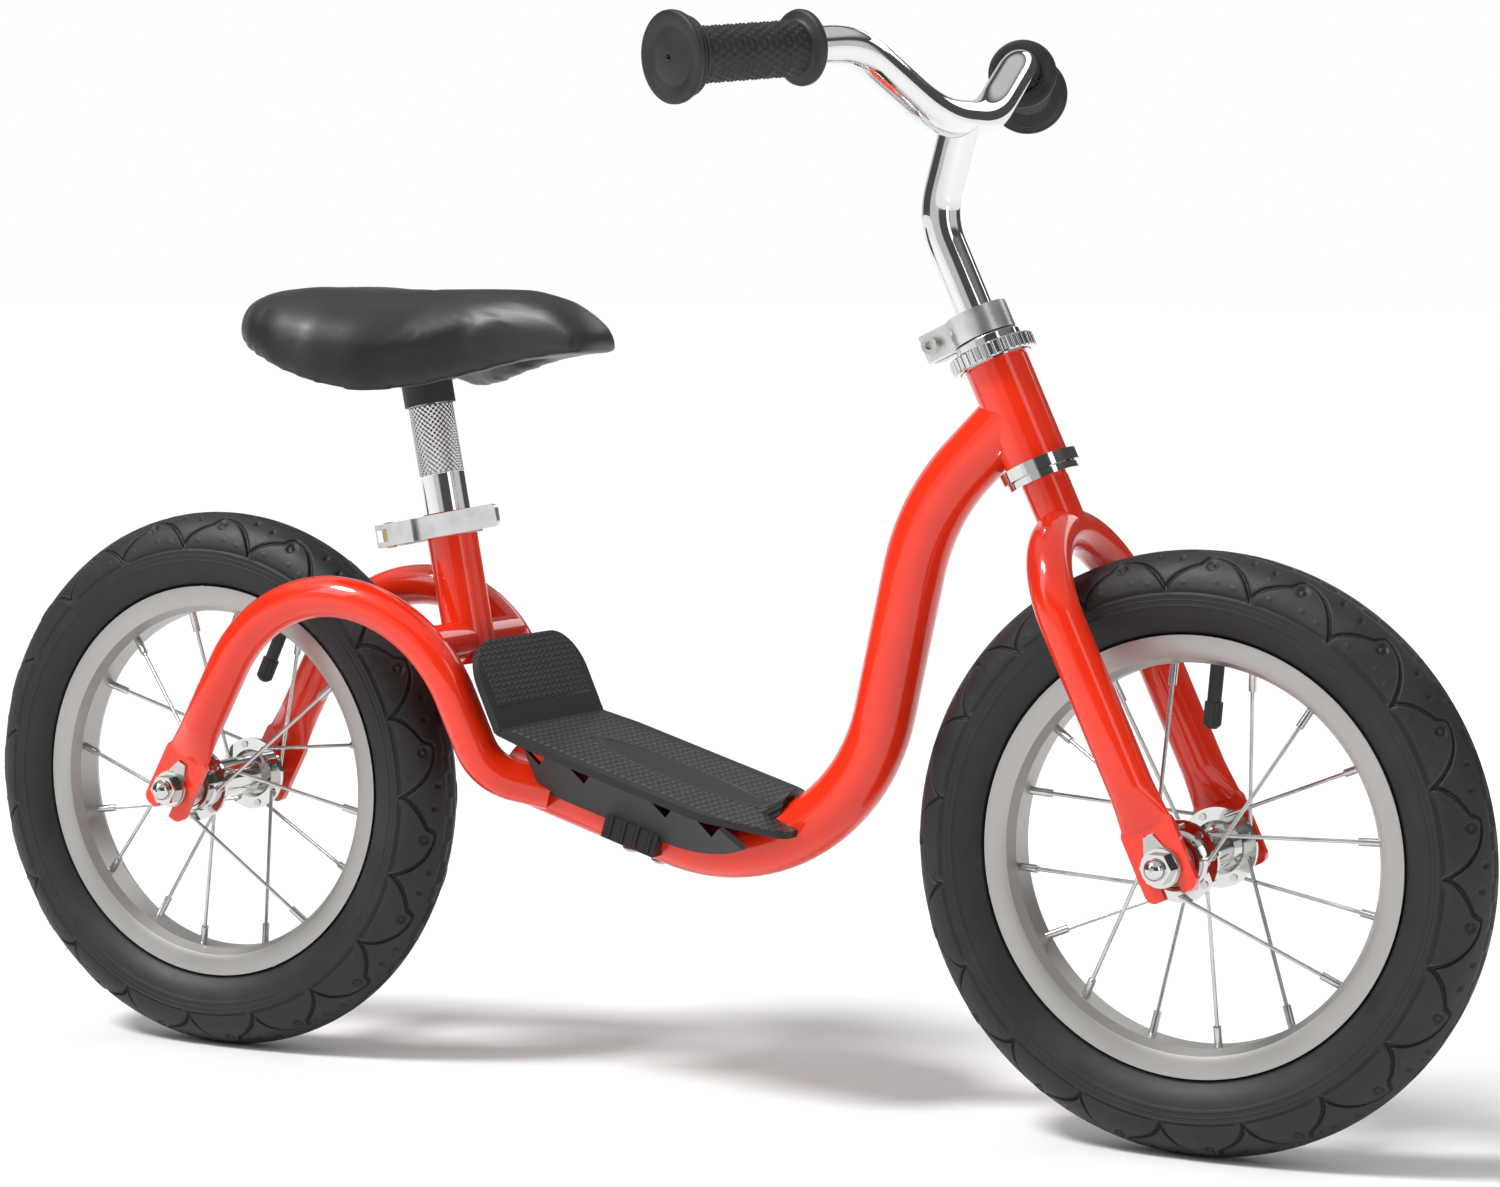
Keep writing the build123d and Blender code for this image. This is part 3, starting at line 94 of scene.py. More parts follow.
# ------------------------------------------------------------------ sizes and colours
class TyreSizes(bpy.types.PropertyGroup):
    """The tread of both tyres."""

    scallops: bpy.props.IntProperty(name="Scallops", description="Curved blocks round one side", default=19)
    groove_depth: bpy.props.FloatProperty(
        name="Groove depth", description="How deep the tread is cut", default=0.0012, unit="LENGTH"
    )
    groove_width: bpy.props.FloatProperty(
        name="Groove width", description="Width of the curved grooves", default=0.0020, unit="LENGTH"
    )
    rib_height: bpy.props.FloatProperty(
        name="Rib height", description="Height of the rings on the sidewall", default=0.0005, unit="LENGTH"
    )
    rubber: bpy.props.FloatVectorProperty(
        name="Rubber", description="Colour of the tyres", default=(0.0085, 0.0085, 0.009), subtype="COLOR"
    )


class GripSizes(bpy.types.PropertyGroup):
    """The two rubber grips."""

    nub_rows: bpy.props.IntProperty(name="Nub rows", description="Rows of nubs along a grip", default=17)
    nubs_round: bpy.props.IntProperty(name="Nubs round", description="Nubs in one row", default=22)
    nub_height: bpy.props.FloatProperty(
        name="Nub height", description="How far a nub stands out", default=0.0009, unit="LENGTH"
    )
    rubber: bpy.props.FloatVectorProperty(
        name="Rubber", description="Colour of the grips", default=(0.014, 0.014, 0.0135), subtype="COLOR"
    )


class SaddleSizes(bpy.types.PropertyGroup):
    """The padded saddle."""

    lobe_rise: bpy.props.FloatProperty(
        name="Lobe rise", description="Height of the two rear lobes over the channel", default=0.005,
        unit="LENGTH",
    )
    lip: bpy.props.FloatProperty(
        name="Lip", description="Width of the turned-under edge", default=0.009, unit="LENGTH"
    )
    nose_reach: bpy.props.FloatProperty(
        name="Nose reach", description="How far the padding stands past the pan at the nose",
        default=0.0075, unit="LENGTH",
    )
    padding_travel: bpy.props.FloatProperty(
        name="Padding travel", description="Farthest the padding may swell", default=0.0035, unit="LENGTH"
    )
    vinyl: bpy.props.FloatVectorProperty(
        name="Vinyl", description="Colour of the cover", default=(0.010, 0.010, 0.011), subtype="COLOR"
    )


class PaintSizes(bpy.types.PropertyGroup):
    """The painted frame, the seat post's knurling and the footrest's moulding."""

    enamel: bpy.props.FloatVectorProperty(
        name="Enamel", description="Colour of the frame and fork", default=(0.86, 0.028, 0.004),
        subtype="COLOR",
    )
    deck_slope: bpy.props.FloatProperty(
        name="Deck slope", description="Fall of the footrest towards the front", default=radians(16.6),
        subtype="ANGLE",
    )
    chevron_pitch: bpy.props.FloatProperty(
        name="Chevron pitch", description="Distance between rows of the footrest's pattern", default=0.0042,
        unit="LENGTH",
    )
    chevron_width: bpy.props.FloatProperty(
        name="Chevron width", description="Width of one chevron of the pattern", default=0.0058,
        unit="LENGTH",
    )
    knurl_depth: bpy.props.FloatProperty(
        name="Knurl depth", description="Depth of the seat post's knurling", default=0.0005, unit="LENGTH"
    )
    knurl_foot: bpy.props.FloatProperty(
        name="Knurl foot", description="Height of the knurling's lower end", default=0.321, unit="LENGTH"
    )
    knurl_head: bpy.props.FloatProperty(
        name="Knurl head", description="Height of the knurling's upper end", default=0.357, unit="LENGTH"
    )


class StageSizes(bpy.types.PropertyGroup):
    """The floor, lights and camera."""

    camera_place: bpy.props.FloatVectorProperty(
        name="Camera", description="Where the camera stands", default=(0.96174, -1.73808, 0.42723),
        subtype="TRANSLATION",
    )
    camera_turn: bpy.props.FloatProperty(
        name="Turn", description="Camera's turn about the vertical", default=radians(27.91), subtype="ANGLE"
    )
    camera_fall: bpy.props.FloatProperty(
        name="Fall", description="How far the camera looks down", default=radians(4.72), subtype="ANGLE"
    )
    camera_roll: bpy.props.FloatProperty(
        name="Roll", description="Camera's roll", default=radians(0.19), subtype="ANGLE"
    )
    lens: bpy.props.FloatProperty(name="Lens", description="Focal length", default=92.338, unit="CAMERA")
    floor_colour: bpy.props.FloatVectorProperty(
        name="Floor", description="Colour of the floor", default=(0.90, 0.90, 0.90), subtype="COLOR"
    )


# ------------------------------------------------------------------ shader maths
class Socket:
    """A node's output. Arithmetic on it adds Math nodes."""

    def __init__(self, shader, output):
        self.shader = shader
        self.output = output

    def math(self, operation, *others):
        values = dict(enumerate((self,) + others))
        return self.shader.node("ShaderNodeMath", {"operation": operation}, values)["Value"]

    def __add__(self, other):
        return self.math("ADD", other)

    def __sub__(self, other):
        return self.math("SUBTRACT", other)

    def __mul__(self, other):
        return self.math("MULTIPLY", other)

    def __truediv__(self, other):
        return self.math("DIVIDE", other)

    def __rsub__(self, other):
        return self * -1.0 + other

    __radd__ = __add__
    __rmul__ = __mul__

    def sine(self):
        return self.math("SINE")

    def between(self, low, high):
        """0 below low, 1 above high and a smooth step from one to the other."""
        return self.shader.node(
            "ShaderNodeMapRange",
            {"interpolation_type": "SMOOTHSTEP"},
            {"Value": self, "From Min": low, "From Max": high},
        )["Result"]


class Shader:
    """One material, or the world, and the nodes that make it."""

    def __init__(self, name, owners=bpy.data.materials):
        self.owner = owners.new(name)
        self.owner.use_nodes = True
        self.tree = self.owner.node_tree
        self.tree.nodes.clear()

    def node(self, kind, settings=None, inputs=None):
        """Adds a node: its settings first, then the values or links of its sockets."""
        node = self.tree.nodes.new(kind)
        for key, value in (settings or {}).items():
            if key == "stops":
                ramp = node.color_ramp.elements
                while len(ramp) < len(value):
                    ramp.new(1.0)
                for stop, (place, colour) in zip(ramp, value):
                    stop.position = place
                    stop.color = (*colour, 1.0)
            else:
                setattr(node, key, value)
        for key, value in (inputs or {}).items():
            if isinstance(key, int):
                socket = node.inputs[key]
            else:
                socket = next(s for s in node.inputs if s.enabled and s.name == key)
            if isinstance(value, Socket):
                self.tree.links.new(value.output, socket)
            else:
                socket.default_value = value
        return {s.name: Socket(self, s) for s in node.outputs if s.enabled}

    def place(self):
        """Object coordinates, in metres."""
        return self.node("ShaderNodeTexCoord")["Object"]

    def parts(self, vector):
        """A vector's three numbers."""
        out = self.node("ShaderNodeSeparateXYZ", None, {"Vector": vector})
        return out["X"], out["Y"], out["Z"]

    def noise(self, scale, detail=3.0, roughness=0.5):
        """Fractal noise over the object, from 0 to 1."""
        return self.node(
            "ShaderNodeTexNoise",
            None,
            {"Vector": self.place(), "Scale": scale, "Detail": detail, "Roughness": roughness},
        )["Fac"]

    def mix(self, factor, first, second):
        """A colour between two."""
        return self.node(
            "ShaderNodeMix", {"data_type": "RGBA"}, {"Factor": factor, "A": first, "B": second}
        )["Result"]

    def bump(self, height, distance, strength=1.0, normal=None):
        """Relief of a height from 0 to 1, times a distance in metres."""
        inputs = {"Height": height, "Distance": distance, "Strength": strength}
        if normal:
            inputs["Normal"] = normal
        return self.node("ShaderNodeBump", None, inputs)["Normal"]

    def finish(self, **inputs):
        """The Principled shader and the output."""
        named = {
            key.replace("_", " ").title().replace("Ior", "IOR"): value for key, value in inputs.items()
        }
        bsdf = self.node("ShaderNodeBsdfPrincipled", None, named)["BSDF"]
        self.node("ShaderNodeOutputMaterial", None, {"Surface": bsdf})
        return self.owner


def colour(values, gain=1.0):
    """Red, green, blue and alpha of a colour, made lighter or darker."""
    return (*[min(1.0, value * gain) for value in values], 1.0)


# ------------------------------------------------------------------ materials
def enamel_material(sizes):
    """Glossy enamel: a clear coat over paint that varies a little, with a faint orange peel."""
    shader = Shader("red_enamel")
    drift = shader.noise(14.0)
    peel = shader.noise(700.0, 1.0)
    base = shader.mix(drift.between(0.35, 0.65), colour(sizes.enamel, 0.95), colour(sizes.enamel, 1.06))
    return shader.finish(
        base_color=base,
        roughness=0.24 + 0.12 * drift,
        specular_ior_level=0.2,
        coat_weight=1.0,
        coat_roughness=0.04,
        normal=shader.bump(peel, 0.00002),
    )


def chrome_material(name="mirror_chrome", tint=(0.78, 0.78, 0.79), smudge=0.07):
    """Chrome plating: a mirror with faint smudges and hairline polish marks."""
    shader = Shader(name)
    wipe = shader.noise(45.0, 4.0)
    hair = shader.noise(900.0, 2.0)
    return shader.finish(
        base_color=shader.mix(wipe, colour(tint, 0.93), colour(tint, 1.04)),
        metallic=1.0,
        roughness=0.035 + smudge * wipe.between(0.45, 0.75),
        normal=shader.bump(hair, 0.000006),
    )


def knurled_chrome_material(sizes):
    """Chrome whose upper stretch is cut with two crossing families of helical grooves."""
    shader = Shader("knurled_chrome")
    up = Vector(joint_named("seat_height")["axis"])
    centre = Vector(middle_of("seat_post"))
    across = Vector((0, 1, 0)).cross(up)
    offset = shader.node(
        "ShaderNodeVectorMath", {"operation": "SUBTRACT"}, {0: shader.place(), 1: tuple(centre)}
    )["Vector"]

    def along(axis):
        return shader.node(
            "ShaderNodeVectorMath", {"operation": "DOT_PRODUCT"}, {0: offset, 1: tuple(axis)}
        )["Value"]

    height = along(up)
    angle = along((0, 1, 0)).math("ARCTAN2", along(across))
    knurl_low = (sizes.knurl_foot - centre.z) / up.z
    knurl_high = (sizes.knurl_head - centre.z) / up.z
    turns, post_radius, edge = 26.0, 0.012, 0.0006
    climb = turns / post_radius
    left = (angle * turns + height * climb).sine()
    right = (angle * turns - height * climb).sine()
    diamonds = (left + right) * 0.25 + 0.5
    above_foot = height.between(knurl_low, knurl_low + edge)
    band = above_foot * (1.0 - height.between(knurl_high, knurl_high + edge))
    wipe = shader.noise(60.0, 4.0)
    # painted shade: the knurled band is coloured darker than the smooth chrome, for the shade between its
    # diamonds
    return shader.finish(
        base_color=shader.mix(band, (0.78, 0.78, 0.79, 1), (0.62, 0.62, 0.62, 1)),
        metallic=1.0,
        roughness=0.05 + 0.06 * wipe + 0.16 * band,
        normal=shader.bump(diamonds * band, sizes.knurl_depth),
    )


def plated_material(name, tint, rough, scale=260.0):
    """Zinc or nickel plating: a metal with a fine grain and patches of duller shine."""
    shader = Shader(name)
    patch = shader.noise(70.0, 4.0)
    grain = shader.noise(scale * 6, 2.0)
    return shader.finish(
        base_color=shader.mix(patch.between(0.3, 0.7), colour(tint, 0.82), colour(tint, 1.05)),
        metallic=1.0,
        roughness=rough + 0.16 * patch,
        normal=shader.bump(grain, 0.00002),
    )


def rim_material():
    """Satin silver rims: a fine grain, with a soft drift in tone."""
    shader = Shader("satin_rim")
    drift = shader.noise(22.0, 3.0)
    grain = shader.noise(1500.0, 2.0)
    return shader.finish(
        base_color=shader.mix(drift, (0.40, 0.39, 0.375, 1), (0.50, 0.49, 0.475, 1)),
        metallic=0.9,
        roughness=0.36 + 0.14 * drift,
        normal=shader.bump(grain, 0.000015),
    )


def tyre_material(sizes):
    """Charcoal rubber: painted shade darkens the grooves and thin lines, painted highlight lightens the
    lips by the grooves and the rings on the sidewall, and it is dusty and finely pebbled.
    """
    shader = Shader("tyre_rubber")
    marks = shader.node("ShaderNodeAttribute", {"attribute_name": "marks"})["Vector"]
    away, side, cut = shader.parts(marks)
    line = 1.0 - away.between(0.45, 0.95)
    lip = (1.0 - (away - 1.5).math("ABSOLUTE").between(0.15, 0.5)) * (1.0 - cut)

    def ring(angle, core, rim):
        return 1.0 - (side - angle).math("ABSOLUTE").between(core, rim)

    upper, middle, lower = RING_ANGLES
    rings = ring(upper, 0.5, 1.3) + ring(middle, 0.3, 1.0) * 0.6 + ring(lower, 0.5, 1.3)
    # painted shade: the grooves and thin lines are coloured near black for the shade that falls in them
    groove_shade = cut * 0.75 + line * 0.5
    dust = shader.noise(38.0, 5.0, 0.6)
    pebble = shader.noise(1300.0, 2.0)
    streak = shader.noise(210.0, 4.0)
    worn = shader.mix(dust.between(0.35, 0.75), colour(sizes.rubber), colour(sizes.rubber, 1.9))
    # painted highlight: the lips along the grooves and the rings on the sidewall are coloured lighter, as
    # if lit
    raised = shader.mix(lip * 0.6 + rings * 0.4, worn, colour(sizes.rubber, 2.8))
    base = shader.mix(groove_shade.math("MINIMUM", 1.0), raised, colour(sizes.rubber, 0.25))
    relief = shader.bump(rings * 0.5 + lip * 0.35 - line * 0.8, 0.0007)
    return shader.finish(
        base_color=base,
        roughness=0.42 + 0.2 * dust + 0.08 * streak,
        normal=shader.bump(pebble, 0.00006, 0.7, shader.bump(streak, 0.00008, 0.5, relief)),
    )


def rubber_material(name, tint, rough=0.5):
    """Matt moulded rubber with a fine grain and faint bloom."""
    shader = Shader(name)
    bloom = shader.noise(55.0, 4.0)
    grain = shader.noise(1600.0, 2.0)
    return shader.finish(
        base_color=shader.mix(bloom.between(0.3, 0.8), colour(tint, 0.9), colour(tint, 1.7)),
        roughness=rough + 0.2 * bloom,
        normal=shader.bump(grain, 0.00005, 0.8),
    )


def vinyl_material(sizes):
    """Smooth black vinyl: a tight leather grain of rounded cells over soft wrinkles."""
    shader = Shader("saddle_vinyl")
    cells = shader.node(
        "ShaderNodeTexVoronoi",
        {"feature": "SMOOTH_F1"},
        {"Vector": shader.place(), "Scale": 950.0, "Smoothness": 0.6},
    )["Distance"]
    soft = shader.noise(30.0, 3.0)
    sheen = shader.noise(8.0, 2.0)
    base = shader.mix(soft.between(0.3, 0.7), colour(sizes.vinyl, 0.85), colour(sizes.vinyl, 1.35))
    return shader.finish(
        base_color=base,
        roughness=0.37 + 0.16 * sheen,
        coat_weight=0.12,
        coat_roughness=0.3,
        normal=shader.bump(cells, 0.00007, 0.55, shader.bump(soft, 0.0004, 0.25)),
    )


def footrest_material(sizes):
    """Black moulded plastic: rows of chevrons on the tread and the back, round a smooth oval."""
    shader = Shader("moulded_footrest")
    deck = Vector(middle_of("footrest_screws"))
    turned = shader.node(
        "ShaderNodeMapping",
        {"vector_type": "TEXTURE"},
        {"Vector": shader.place(), "Location": tuple(deck), "Rotation": (0, sizes.deck_slope, 0)},
    )["Vector"]
    ahead, side, above = shader.parts(turned)
    across = (side * (1 / sizes.chevron_width)).math("PINGPONG", 0.5)
    wave = (ahead - above) * (1 / sizes.chevron_pitch) + across * 1.1
    bars = (wave * (2 * pi)).sine().between(-0.3, 0.3)
    gaps = 1.0 - across.between(0.40, 0.46)
    inside = 1.0 - side.math("ABSOLUTE").between(0.0465, 0.048)
    oval_middle, oval_half_length, oval_half_width = 0.010, 0.054, 0.0165
    from_middle = (ahead - oval_middle) * (1 / oval_half_length)
    from_side = side * (1 / oval_half_width)
    reach = from_middle * from_middle + from_side * from_side
    back_plate = above.between(0.032, 0.034)
    oval = (1.0 - (reach - 1.0).math("ABSOLUTE").between(0.06, 0.16)) * (1.0 - back_plate)
    outside = reach.between(1.05, 1.15) + back_plate
    top = above.between(0.0272, 0.0280)
    crease = 1.0 - (1.0 - (ahead + 0.0705).between(-0.001, 0.001)) * (1.0 - above.between(0.037, 0.039))
    pattern = bars * gaps * inside * outside.math("MINIMUM", 1.0) * top * crease
    grain = shader.noise(1700.0, 2.0)
    wear = shader.noise(26.0, 4.0)
    raised = shader.bump(pattern, 0.0018)
    rimmed = shader.bump(oval * top, 0.0012, 1.0, raised)
    # painted highlight: the raised chevrons are coloured lighter than the plastic round them, as if lit
    base = shader.mix(pattern, (0.008, 0.008, 0.009, 1), (0.050, 0.050, 0.052, 1))
    return shader.finish(
        base_color=base,
        roughness=0.40 + 0.16 * wear - 0.08 * pattern,
        normal=shader.bump(grain, 0.00003, 0.7, rimmed),
    )


def smooth(node, angle=28.0):
    """Shades a part smooth but for its real edges."""
    part = frame["nodes"][node]
    part.data.polygons.foreach_set("use_smooth", np.ones(len(part.data.polygons), bool))
    weld = part.modifiers.new("weld", "WELD")
    weld.merge_threshold = 0.000001
    split = part.modifiers.new("edges", "EDGE_SPLIT")
    split.split_angle = radians(angle)


def dress(material, *nodes, angle=28.0):
    """Gives parts a material and smooth shading."""
    for node in nodes:
        part = frame["nodes"][node]
        part.data.materials.clear()
        part.data.materials.append(material)
        if part.data.attributes.get("material_index"):
            part.data.attributes.remove(part.data.attributes["material_index"])
        smooth(node, angle)


# ------------------------------------------------------------------ surfaces
def grid_piece(name, points, wrap_rows, wrap_columns, marks=None):
    """A mesh of quads over a rows x columns grid of points, joined at the ends that wrap.

    Each quad is the four neighbours (i, j), (i, j+1), (i+1, j+1), (i+1, j).
    """
    rows, columns = points.shape[:2]
    index = np.arange(rows * columns).reshape(rows, columns)
    if wrap_rows:
        index = np.vstack([index, index[:1]])
    if wrap_columns:
        index = np.hstack([index, index[:, :1]])
    quads = np.stack([index[:-1, :-1], index[:-1, 1:], index[1:, 1:], index[1:, :-1]], -1).reshape(-1, 4)
    mesh = bpy.data.meshes.new(name)
    mesh.vertices.add(rows * columns)
    mesh.vertices.foreach_set("co", points.reshape(-1, 3).astype(np.float32).ravel())
    mesh.loops.add(quads.size)
    mesh.loops.foreach_set("vertex_index", quads.ravel().astype(np.int32))
    mesh.polygons.add(len(quads))
    mesh.polygons.foreach_set("loop_start", np.arange(0, quads.size, 4, dtype=np.int32))
    mesh.polygons.foreach_set("use_smooth", np.ones(len(quads), bool))
    mesh.update(calc_edges=True)
    if marks is not None:
        attribute = mesh.attributes.new("marks", "FLOAT_VECTOR", "POINT")
        attribute.data.foreach_set("vector", marks.ravel().astype(np.float32))
    piece = bpy.data.objects.new(name, mesh)
    bpy.context.scene.collection.objects.link(piece)
    return piece


def merge_poles(piece, distance=0.00002):
    """Joins the points that a pole or a seam leaves doubled, and turns the faces outwards."""
    work = bmesh.new()
    work.from_mesh(piece.data)
    bmesh.ops.remove_doubles(work, verts=work.verts, dist=distance)
    bmesh.ops.recalc_face_normals(work, faces=work.faces)
    work.to_mesh(piece.data)
    work.free()
    piece.data.update()


def step(value, low, high):
    """A smooth step from 0 at low to 1 at high: 3t^2 - 2t^3 of the share t of the way."""
    share = np.clip((value - low) / (high - low), 0, 1)
    return share * share * (3 - 2 * share)


def ridge(value, middle, width):
    """1 at the middle, falling smoothly to 0 at half a width either side."""
    return 1 - step(np.abs(value - middle), 0.25 * width, 0.5 * width)


# ------------------------------------------------------------------ tyres
def scallop(share):
    """How far a block's curved edge stands out, from 0 at its cusps to 1 at its crest.

    Up to a hook it climbs as a root of the share, then it steps up to the crest, and from
    there it drops as a rounded shoulder, 1 less the square of the share of the way.
    """
    hook, crest, knee = 0.33, 0.42, 0.71
    rise = knee * (np.clip(share, 0, hook) / hook) ** 0.55
    climb = (1 - knee) * step(share, hook, crest)
    fall = np.clip(1 - (np.clip(share - crest, 0, 1) / (1 - crest)) ** 2, 0, 1) ** 0.9
    return np.where(share < crest, rise + climb, fall)


def block_edge(share):
    """The angle over the tyre, from its crown, of the blocks' curved edge."""
    return 80.0 - 54.0 * scallop(share)


def edge_distance(share, side, pitch_length, arc_per_degree):
    """The nearest distance from each point to the blocks' curved edge, laid out flat."""
    along = np.linspace(-1, 2, 541)
    curve = np.stack([along * pitch_length, block_edge(along % 1.0) * arc_per_degree])
    points = np.stack([share.ravel() * pitch_length, side.ravel() * arc_per_degree])
    gaps = np.hypot(*(points[:, :, None] - curve[:, None, :]))
    return gaps.min(1).reshape(share.shape)


def tread_relief(share, side, section, radius, sizes):
    """Height of the tread over the round casing, the distance to a block's edge, and the cut.

    share is the part of a pitch round the wheel and side the angle over the tyre, 0 at its
    crown. Blocks stand over the rest inside a curved groove, over a straight groove and
    three thin ribs, with slits between them, a hook and a few pips.
    """
    arc_per_degree = section * radians(1)
    pitch_length = 2 * pi * (radius - 0.4 * section) / sizes.scallops
    away = edge_distance(share, side, pitch_length, arc_per_degree)
    inside = side > block_edge(share)
    half = sizes.groove_width / 2
    outline = 1 - step(away, 0.45 * half, 1.1 * half)
    foot = ridge(side, 81.5, 4.4) * step(share, 0.05, 0.12) * (1 - step(share, 0.93, 0.98))
    upper, middle, lower = RING_ANGLES
    ribs = ridge(side, upper, 2.6) + 0.7 * ridge(side, middle, 2.4) + ridge(side, lower, 2.6)
    late_slit = ridge(share, 0.86, 0.05) * ridge(side, 24.0, 12.0)
    slit = late_slit + ridge(share, 0.12, 0.05) * ridge(side, 30.0, 11.0)
    hook_away = np.hypot((share - 0.47) * pitch_length, (side - 42.0) * arc_per_degree)
    hook = ridge(hook_away, 0.0021, 0.0018) * (share > 0.43)
    crown = ridge(side, 6.0 + 3.0 * np.sin(4 * pi * share), 5.0)
    pip_places = ((0.20, 70.0), (0.36, 60.0), (0.58, 66.0), (0.78, 70.0), (0.60, 47.0), (0.10, 42.0))
    pips = sum(
        1 - step(np.hypot((share - place) * pitch_length, (side - angle) * arc_per_degree), 0.0003, 0.0011)
        for place, angle in pip_places
    )
    cut = np.clip(outline + foot + slit + hook + 0.8 * crown, 0, 1)
    base = -0.0004 * (1 - inside) * step(np.abs(side), 14.0, 22.0)
    height = base - sizes.groove_depth * cut + sizes.rib_height * ribs + 0.0006 * pips
    return height, away, np.clip(cut, 0, 1)


def tyre_section(node):
    """A tyre's centre, its outer radius, the radius of its round section and of the ring in it."""
    low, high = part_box(node)
    outer = (high.z - low.z) / 2
    section = (high.y - low.y) / 2
    return middle_of(node), outer, section, outer - section


def make_tyre(name, node, body, sizes, material):
    """A tyre: a round casing carried round the wheel, its skin cut by the tread's relief.

    A point is centre + (r cos t, y, r sin t), where r = ring + (section + relief) cos a and
    y = (section + relief) sin a over the outside, and the inside runs back from bead to bead.
    The relief of one pitch is repeated round the wheel, half a pitch later on the far side.
    """
    centre, outer, section, ring = tyre_section(node)
    crown, blocks = np.linspace(0, 18, 5), np.linspace(20.2, 104, 39)
    near = np.concatenate([crown, blocks, np.linspace(112, BEAD_ANGLE, 5)])
    rows = ROWS_IN_A_PITCH
    share, side = np.meshgrid(np.arange(rows) / rows, near, indexing="ij")
    height, away, cut = tread_relief(share, side, section, outer, sizes)
    height = height * (1 - step(side, BEAD_ANGLE - 11, BEAD_ANGLE - 4))
    height = np.minimum(height, np.where(side < 60, 0, 0.001))

    def both_sides(values):
        far = np.roll(values, rows // 2, axis=0)
        return np.tile(np.hstack([far[:, :0:-1], values]), (sizes.scallops, 1))

    turn = np.arange(rows * sizes.scallops) * (-2 * pi / (rows * sizes.scallops))
    across = -np.radians(np.concatenate([-near[:0:-1], near]))
    back = np.linspace(across[-1], across[0], 7)[1:-1]
    around = np.concatenate([across, back])[None, :] * np.ones((len(turn), 1))
    blank = np.zeros((len(turn), len(back)))
    reach = np.hstack([section + both_sides(height), blank + section - TYRE_WALL])
    turns = turn[:, None] * np.ones((1, around.shape[1]))
    radius = ring + reach * np.cos(around)
    points = centre + np.stack([radius * np.cos(turns), reach * np.sin(around), radius * np.sin(turns)], -1)
    marks = np.stack(
        [
            np.hstack([1000 * both_sides(away), blank + 9]),
            np.hstack([both_sides(side), blank + 150]),
            np.hstack([both_sides(cut), blank]),
        ],
        -1,
    )
    piece = grid_piece(name, points, True, True, marks)
    merge_poles(piece)
    piece.data.materials.append(material)
    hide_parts(node)
    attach(piece, body)
    return piece


def make_hairs(name, node, body, material):
    """The moulding hairs on a tyre: thin bent spikes with four faces each, in an even spiral."""
    centre, outer, section, ring = tyre_section(node)
    count = 96
    order = np.arange(count)
    turn = order * GOLDEN_TURN
    across = 1.15 * np.sin(order * 1.7) + 0.08 * np.cos(order * 5.1)
    length = 0.0012 + 0.0012 * (0.5 + 0.5 * np.sin(order * 3.3))
    base = section - 0.0008
    corners = np.array([(1, 0), (-0.5, 0.87), (-0.5, -0.87)]) * 0.00028
    outward = np.stack([np.cos(across) * np.cos(turn), np.sin(across), np.cos(across) * np.sin(turn)], -1)
    forward = np.stack([-np.sin(turn), np.zeros(count), np.cos(turn)], -1)
    sideways = np.cross(outward, forward)
    root = np.stack([ring * np.cos(turn), np.zeros(count), ring * np.sin(turn)], -1) + centre
    root = root + outward * base
    foot = root[:, None] + corners[None, :, :1] * forward[:, None]
    foot = foot + corners[None, :, 1:] * sideways[:, None]
    limit = np.minimum(length, np.maximum(0.0004, (outer - 0.0002 - ring) / np.cos(across) - base))
    tip = root + outward * limit[:, None] + forward * (0.35 * limit)[:, None]
    points = np.concatenate([foot, tip[:, None]], 1).reshape(-1, 3)
    first = 4 * order[:, None]
    faces = np.concatenate([first + f for f in ([0, 1, 3], [1, 2, 3], [2, 0, 3], [2, 1, 0])], 0)
    mesh = bpy.data.meshes.new(name)
    mesh.from_pydata(points.tolist(), [], faces.tolist())
    piece = bpy.data.objects.new(name, mesh)
    bpy.context.scene.collection.objects.link(piece)
    merge_poles(piece, 0.0)
    piece.data.materials.append(material)
    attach(piece, body)
    return piece


class BIKE_OT_tyres(bpy.types.Operator):
    """Makes both tyres with their tread and moulding hairs."""

    bl_idname = "bike.tyres"
    bl_label = "Tyres"

    def execute(self, context):
        sizes = context.scene.bike_tyres
        rubber = tyre_material(sizes)
        for end in ("front", "rear"):
            make_tyre(f"{end}_treaded_tyre", f"{end}_tyre", f"{end}_wheel", sizes, rubber)
            make_hairs(f"{end}_tyre_hairs", f"{end}_tyre", f"{end}_wheel", rubber)
        return {"FINISHED"}


# ------------------------------------------------------------------ grips
def grip_outline():
    """A grip's outline: pairs of distance along it and radius, from its open to its closed end."""
    corners = [
        (0.0050, 0.0000), (0.0050, 0.0093), (0.0000, 0.0097), (0.0000, 0.0172), (0.0004, 0.0178),
        (0.0018, 0.0180), (0.0030, 0.0176), (0.0036, 0.0166), (0.0040, 0.0140), (0.0050, 0.0128),
    ]
    body = [(0.0050 + 0.0005 * k, GRIP_BODY_RADIUS) for k in range(1, 131)]
    end = [
        (0.0708, 0.0135), (0.0712, 0.0180), (0.0716, 0.0188), (0.0727, 0.0189), (0.0731, 0.0182),
        (0.0733, 0.0168), (0.0737, 0.0168), (0.0739, 0.0190), (0.0744, 0.0199), (0.0755, 0.0200),
        (0.0759, 0.0192), (0.0761, 0.0176), (0.0765, 0.0176), (0.0767, 0.0204), (0.0773, 0.0213),
        (0.0784, 0.0215), (0.0796, 0.0214), (0.0803, 0.0207), (0.0805, 0.0196), (0.0803, 0.0170),
        (0.0799, 0.0150), (0.0794, 0.0141), (0.0795, 0.0132), (0.0802, 0.0112), (0.0809, 0.0085),
        (0.0813, 0.0055), (0.0815, 0.0030), (0.0815, 0.0018), (0.0812, 0.0014), (0.0790, 0.0013),
        (0.0785, 0.0000),
    ]
    return np.array(corners + body + end)


